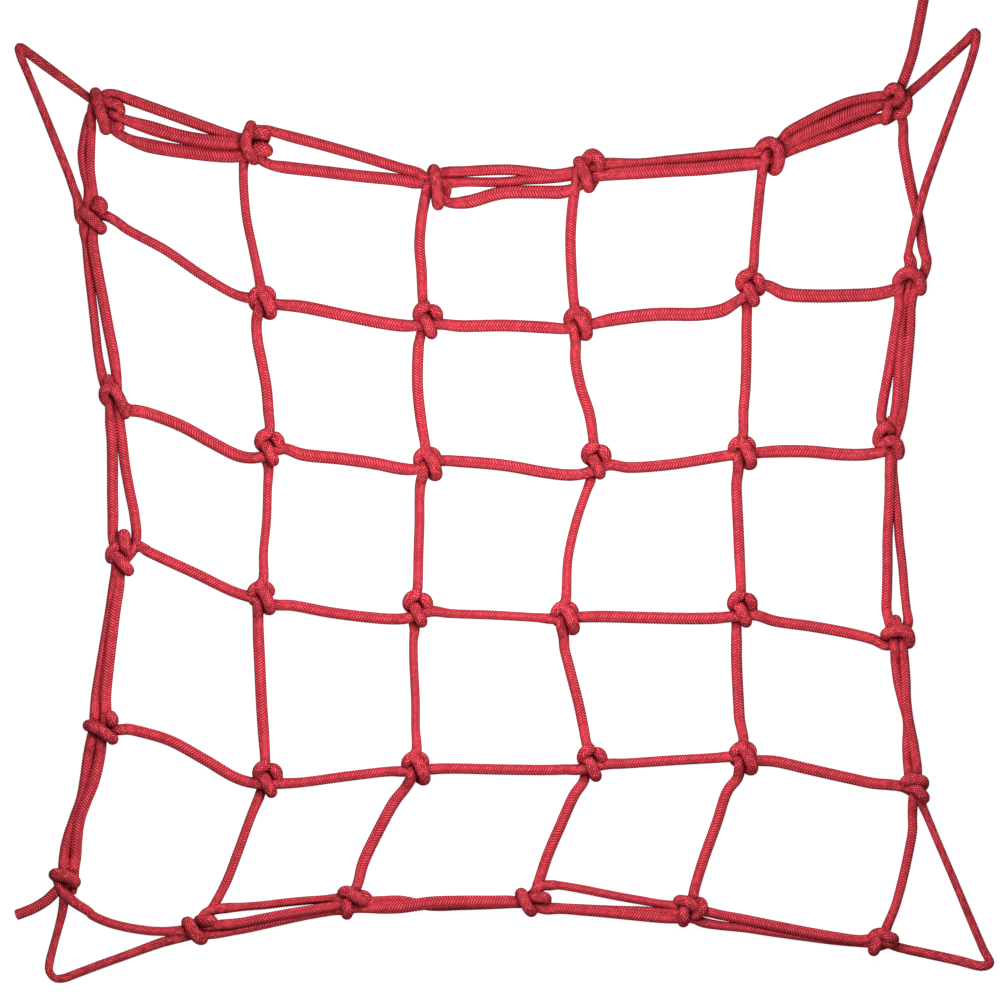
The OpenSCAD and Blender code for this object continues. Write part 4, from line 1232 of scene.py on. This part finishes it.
class NET_OT_bundle_right_border(bpy.types.Operator):
    """Lays the strands of the right border, tied into its top and bottom knots by the outer one."""

    bl_idname = "net.bundle_right_border"
    bl_label = "Bundle right border"

    def execute(self, context):
        sizes = context.scene.net_sizes
        width = sizes.bundle_width
        knot_radius = sizes.knot_width / MM / 2
        for band, word in enumerate(BAND_WORDS):
            outer = side_run(LAST, RIGHT_OUTER_WAYS, RIGHT_OUTER_PLACES, band)
            if band == 0:
                outer = with_radius(in_knot(0, LAST, TOP_RIGHT_WRAP)[::-1], knot_radius) + outer
            if band == len(FOLDS):
                outer += with_radius(in_knot(LAST, LAST, BOTTOM_RIGHT_WRAP), knot_radius)
            bend_at_fold(lay_cord(f"right_border_{word}_outer", [outer], width), band)
        for band, word in enumerate(BAND_WORDS[:-1]):
            inner = side_run(LAST, RIGHT_INNER_WAYS, RIGHT_INNER_PLACES, band)
            beyond = ("right_border_lower_inner",) if word == "row_3" else ()
            bend_at_fold(lay_cord(f"right_border_{word}_inner", [inner], width, nodes=beyond), band)
        middle = in_knot(1, LAST, RIGHT_MIDDLE_ENDS[0]) + on_floor(RIGHT_MIDDLE_WAY)
        middle += in_knot(2, LAST, RIGHT_MIDDLE_ENDS[1])
        beyond = ("right_border_row_2_middle",)
        bend_at_fold(lay_cord("right_border_upper_middle", [middle], width, nodes=beyond), 0)
        return {"FINISHED"}


class NET_OT_shade_hollows(bpy.types.Operator):
    """Marks painted shade on every cord, deeper the deeper a spot lies between cords and the further it turns
    to the floor.
    """

    bl_idname = "net.shade_hollows"
    bl_label = "Shade hollows"

    def execute(self, context):
        pieces = [piece for piece in context.scene.objects if piece.name.endswith("_braid")]
        laid = [cord_rings(piece.data) for piece in pieces]
        rings = np.concatenate([places[::RINGS_PER_BALL] for places, normals in laid])
        balls = rings.mean(axis=1)
        radii = np.linalg.norm(rings - balls[:, None, :], axis=2).mean(axis=1)
        spacing = context.scene.net_sizes.yarn_pitch * RINGS_PER_BALL / RINGS_PER_YARN
        weights = 2 * spacing / (math.pi * radii)
        finder = KDTree(len(balls))
        for number, ball in enumerate(balls):
            finder.insert(ball, number)
        finder.balance()
        for piece, (places, normals) in zip(pieces, laid):
            # Painted shade from nearby cords, and painted shade on sides and undersides
            painted_shade = []
            for ring, facing in zip(places, normals):
                near = [found[1] for found in finder.find_range(ring.mean(axis=0), SHADE_REACH)]
                hidden = hidden_share(ring, facing, balls[near], radii[near], weights[near])
                underside_shade = (1 - np.maximum(facing[:, 2], 0.0)) ** UNDER_FALL
                painted_shade.append(1 - (1 - hidden) * (1 - UNDER_SHADE * underside_shade))
            marked = piece.data.attributes.new("painted_shade", "FLOAT", "POINT")
            marked.data.foreach_set("value", np.concatenate(painted_shade)[:len(marked.data)].astype(np.float32))
        return {"FINISHED"}


class NET_OT_set_stage(bpy.types.Operator):
    """Puts the camera straight above, a soft lamp over the net and a pale floor below."""

    bl_idname = "net.set_stage"
    bl_label = "Set stage"

    def execute(self, context):
        scene = context.scene
        stage = scene.net_stage
        scene.view_settings.view_transform = "Standard"
        data = bpy.data.cameras.new("Camera")
        data.lens = stage.lens
        data.clip_end = CAMERA_REACH
        camera = bpy.data.objects.new("Camera", data)
        scene.collection.objects.link(camera)
        distance = PICTURE_SIDE * stage.lens / data.sensor_width
        camera.location = Vector(place(*PICTURE_MIDDLE, CORD_MIDDLE)) + Vector((0, 0, distance))
        scene.camera = camera
        self.add_lamp(scene, stage)
        self.light_room(scene, stage)
        self.add_floor(stage)
        return {"FINISHED"}

    def add_lamp(self, scene, stage):
        """Adds the square soft lamp above the net, turned to the net's lower edge."""
        data = bpy.data.lights.new("Key lamp", "AREA")
        data.size = LAMP_SIDE
        data.energy = stage.key_power
        lamp = bpy.data.objects.new("Key lamp", data)
        lamp.location = LAMP_SPOT
        lamp.rotation_euler = (Vector(LAMP_AIM) - Vector(LAMP_SPOT)).to_track_quat("-Z", "Y").to_euler()
        lamp.visible_camera = False
        scene.collection.objects.link(lamp)

    def light_room(self, scene, stage):
        """Soft light from all round, seen as plain white by the camera."""
        world = bpy.data.worlds.new("Studio")
        scene.world = world
        world.use_nodes = True
        tree = world.node_tree
        light = tree.nodes["Background"]
        light.inputs["Color"].default_value = WHITE
        light.inputs["Strength"].default_value = stage.fill
        seen = add_node(tree, "Background", Color=WHITE)
        mix = add_node(tree, "MixShader")
        tree.links.new(self.seen_rays(tree), mix.inputs[0])
        tree.links.new(light.outputs[0], mix.inputs[1])
        tree.links.new(seen.outputs[0], mix.inputs[2])
        tree.links.new(mix.outputs[0], tree.nodes["World Output"].inputs["Surface"])

    def seen_rays(self, tree):
        """One where a ray comes from the camera, a gloss or a clear surface."""
        rays = add_node(tree, "LightPath")
        direct = add_math(tree, "MAXIMUM", rays.outputs["Is Camera Ray"], rays.outputs["Is Glossy Ray"])
        return add_math(tree, "MAXIMUM", direct, rays.outputs["Is Transmission Ray"])

    def add_floor(self, stage):
        """A wide pale floor that takes the net's shadow and looks white beside it."""
        bpy.ops.object.select_all(action="DESELECT")
        bpy.ops.mesh.primitive_plane_add(size=FLOOR_SIDE, location=(0, 0, 0))
        floor = bpy.context.object
        floor.name = "Floor"
        material = bpy.data.materials.new("Pale floor")
        material.use_nodes = True
        tree = material.node_tree
        surface = tree.nodes["Principled BSDF"]
        surface.inputs["Base Color"].default_value = (*stage.floor_colour, 1.0)
        surface.inputs["Roughness"].default_value = 1.0
        surface.inputs["Specular IOR Level"].default_value = 0.0
        glow = add_node(tree, "Emission")
        strength = add_math(tree, "MULTIPLY", self.seen_rays(tree), stage.floor_glow)
        tree.links.new(strength, glow.inputs["Strength"])
        both = add_node(tree, "AddShader")
        tree.links.new(surface.outputs[0], both.inputs[0])
        tree.links.new(glow.outputs[0], both.inputs[1])
        tree.links.new(both.outputs[0], tree.nodes["Material Output"].inputs["Surface"])
        floor.data.materials.append(material)


class NET_PT_sidebar(bpy.types.Panel):
    """Sizes, colours and steps of the net."""

    bl_idname = "NET_PT_sidebar"
    bl_label = "Climbing net"
    bl_space_type = "VIEW_3D"
    bl_region_type = "UI"
    bl_category = "Net"

    def draw(self, context):
        for group in (context.scene.net_sizes, context.scene.net_colours, context.scene.net_stage):
            box = self.layout.box()
            for name in group.__annotations__:
                box.prop(group, name)
        for step in STEPS:
            self.layout.operator(step.bl_idname)


GROUPS = (CordSizes, CordColours, StageSettings)
STEPS = (
    NET_OT_lay_loose_ends,
    NET_OT_fold_corner_loops,
    NET_OT_lay_rows,
    NET_OT_knot_columns,
    NET_OT_bundle_top_border,
    NET_OT_bundle_bottom_border,
    NET_OT_bundle_left_border,
    NET_OT_bundle_right_border,
    NET_OT_shade_hollows,
    NET_OT_set_stage,
)


def register():
    for group in (*GROUPS, *STEPS, NET_PT_sidebar):
        bpy.utils.register_class(group)
    bpy.types.Scene.net_sizes = bpy.props.PointerProperty(type=CordSizes)
    bpy.types.Scene.net_colours = bpy.props.PointerProperty(type=CordColours)
    bpy.types.Scene.net_stage = bpy.props.PointerProperty(type=StageSettings)


def unregister():
    del bpy.types.Scene.net_stage
    del bpy.types.Scene.net_colours
    del bpy.types.Scene.net_sizes
    for group in reversed((*GROUPS, *STEPS, NET_PT_sidebar)):
        bpy.utils.unregister_class(group)


def main():
    register()
    bpy.ops.net.lay_loose_ends()
    bpy.ops.net.fold_corner_loops()
    bpy.ops.net.lay_rows()
    bpy.ops.net.knot_columns()
    bpy.ops.net.bundle_top_border()
    bpy.ops.net.bundle_bottom_border()
    bpy.ops.net.bundle_left_border()
    bpy.ops.net.bundle_right_border()
    bpy.ops.net.shade_hollows()
    bpy.ops.net.set_stage()


if __name__ == "__main__":
    main()
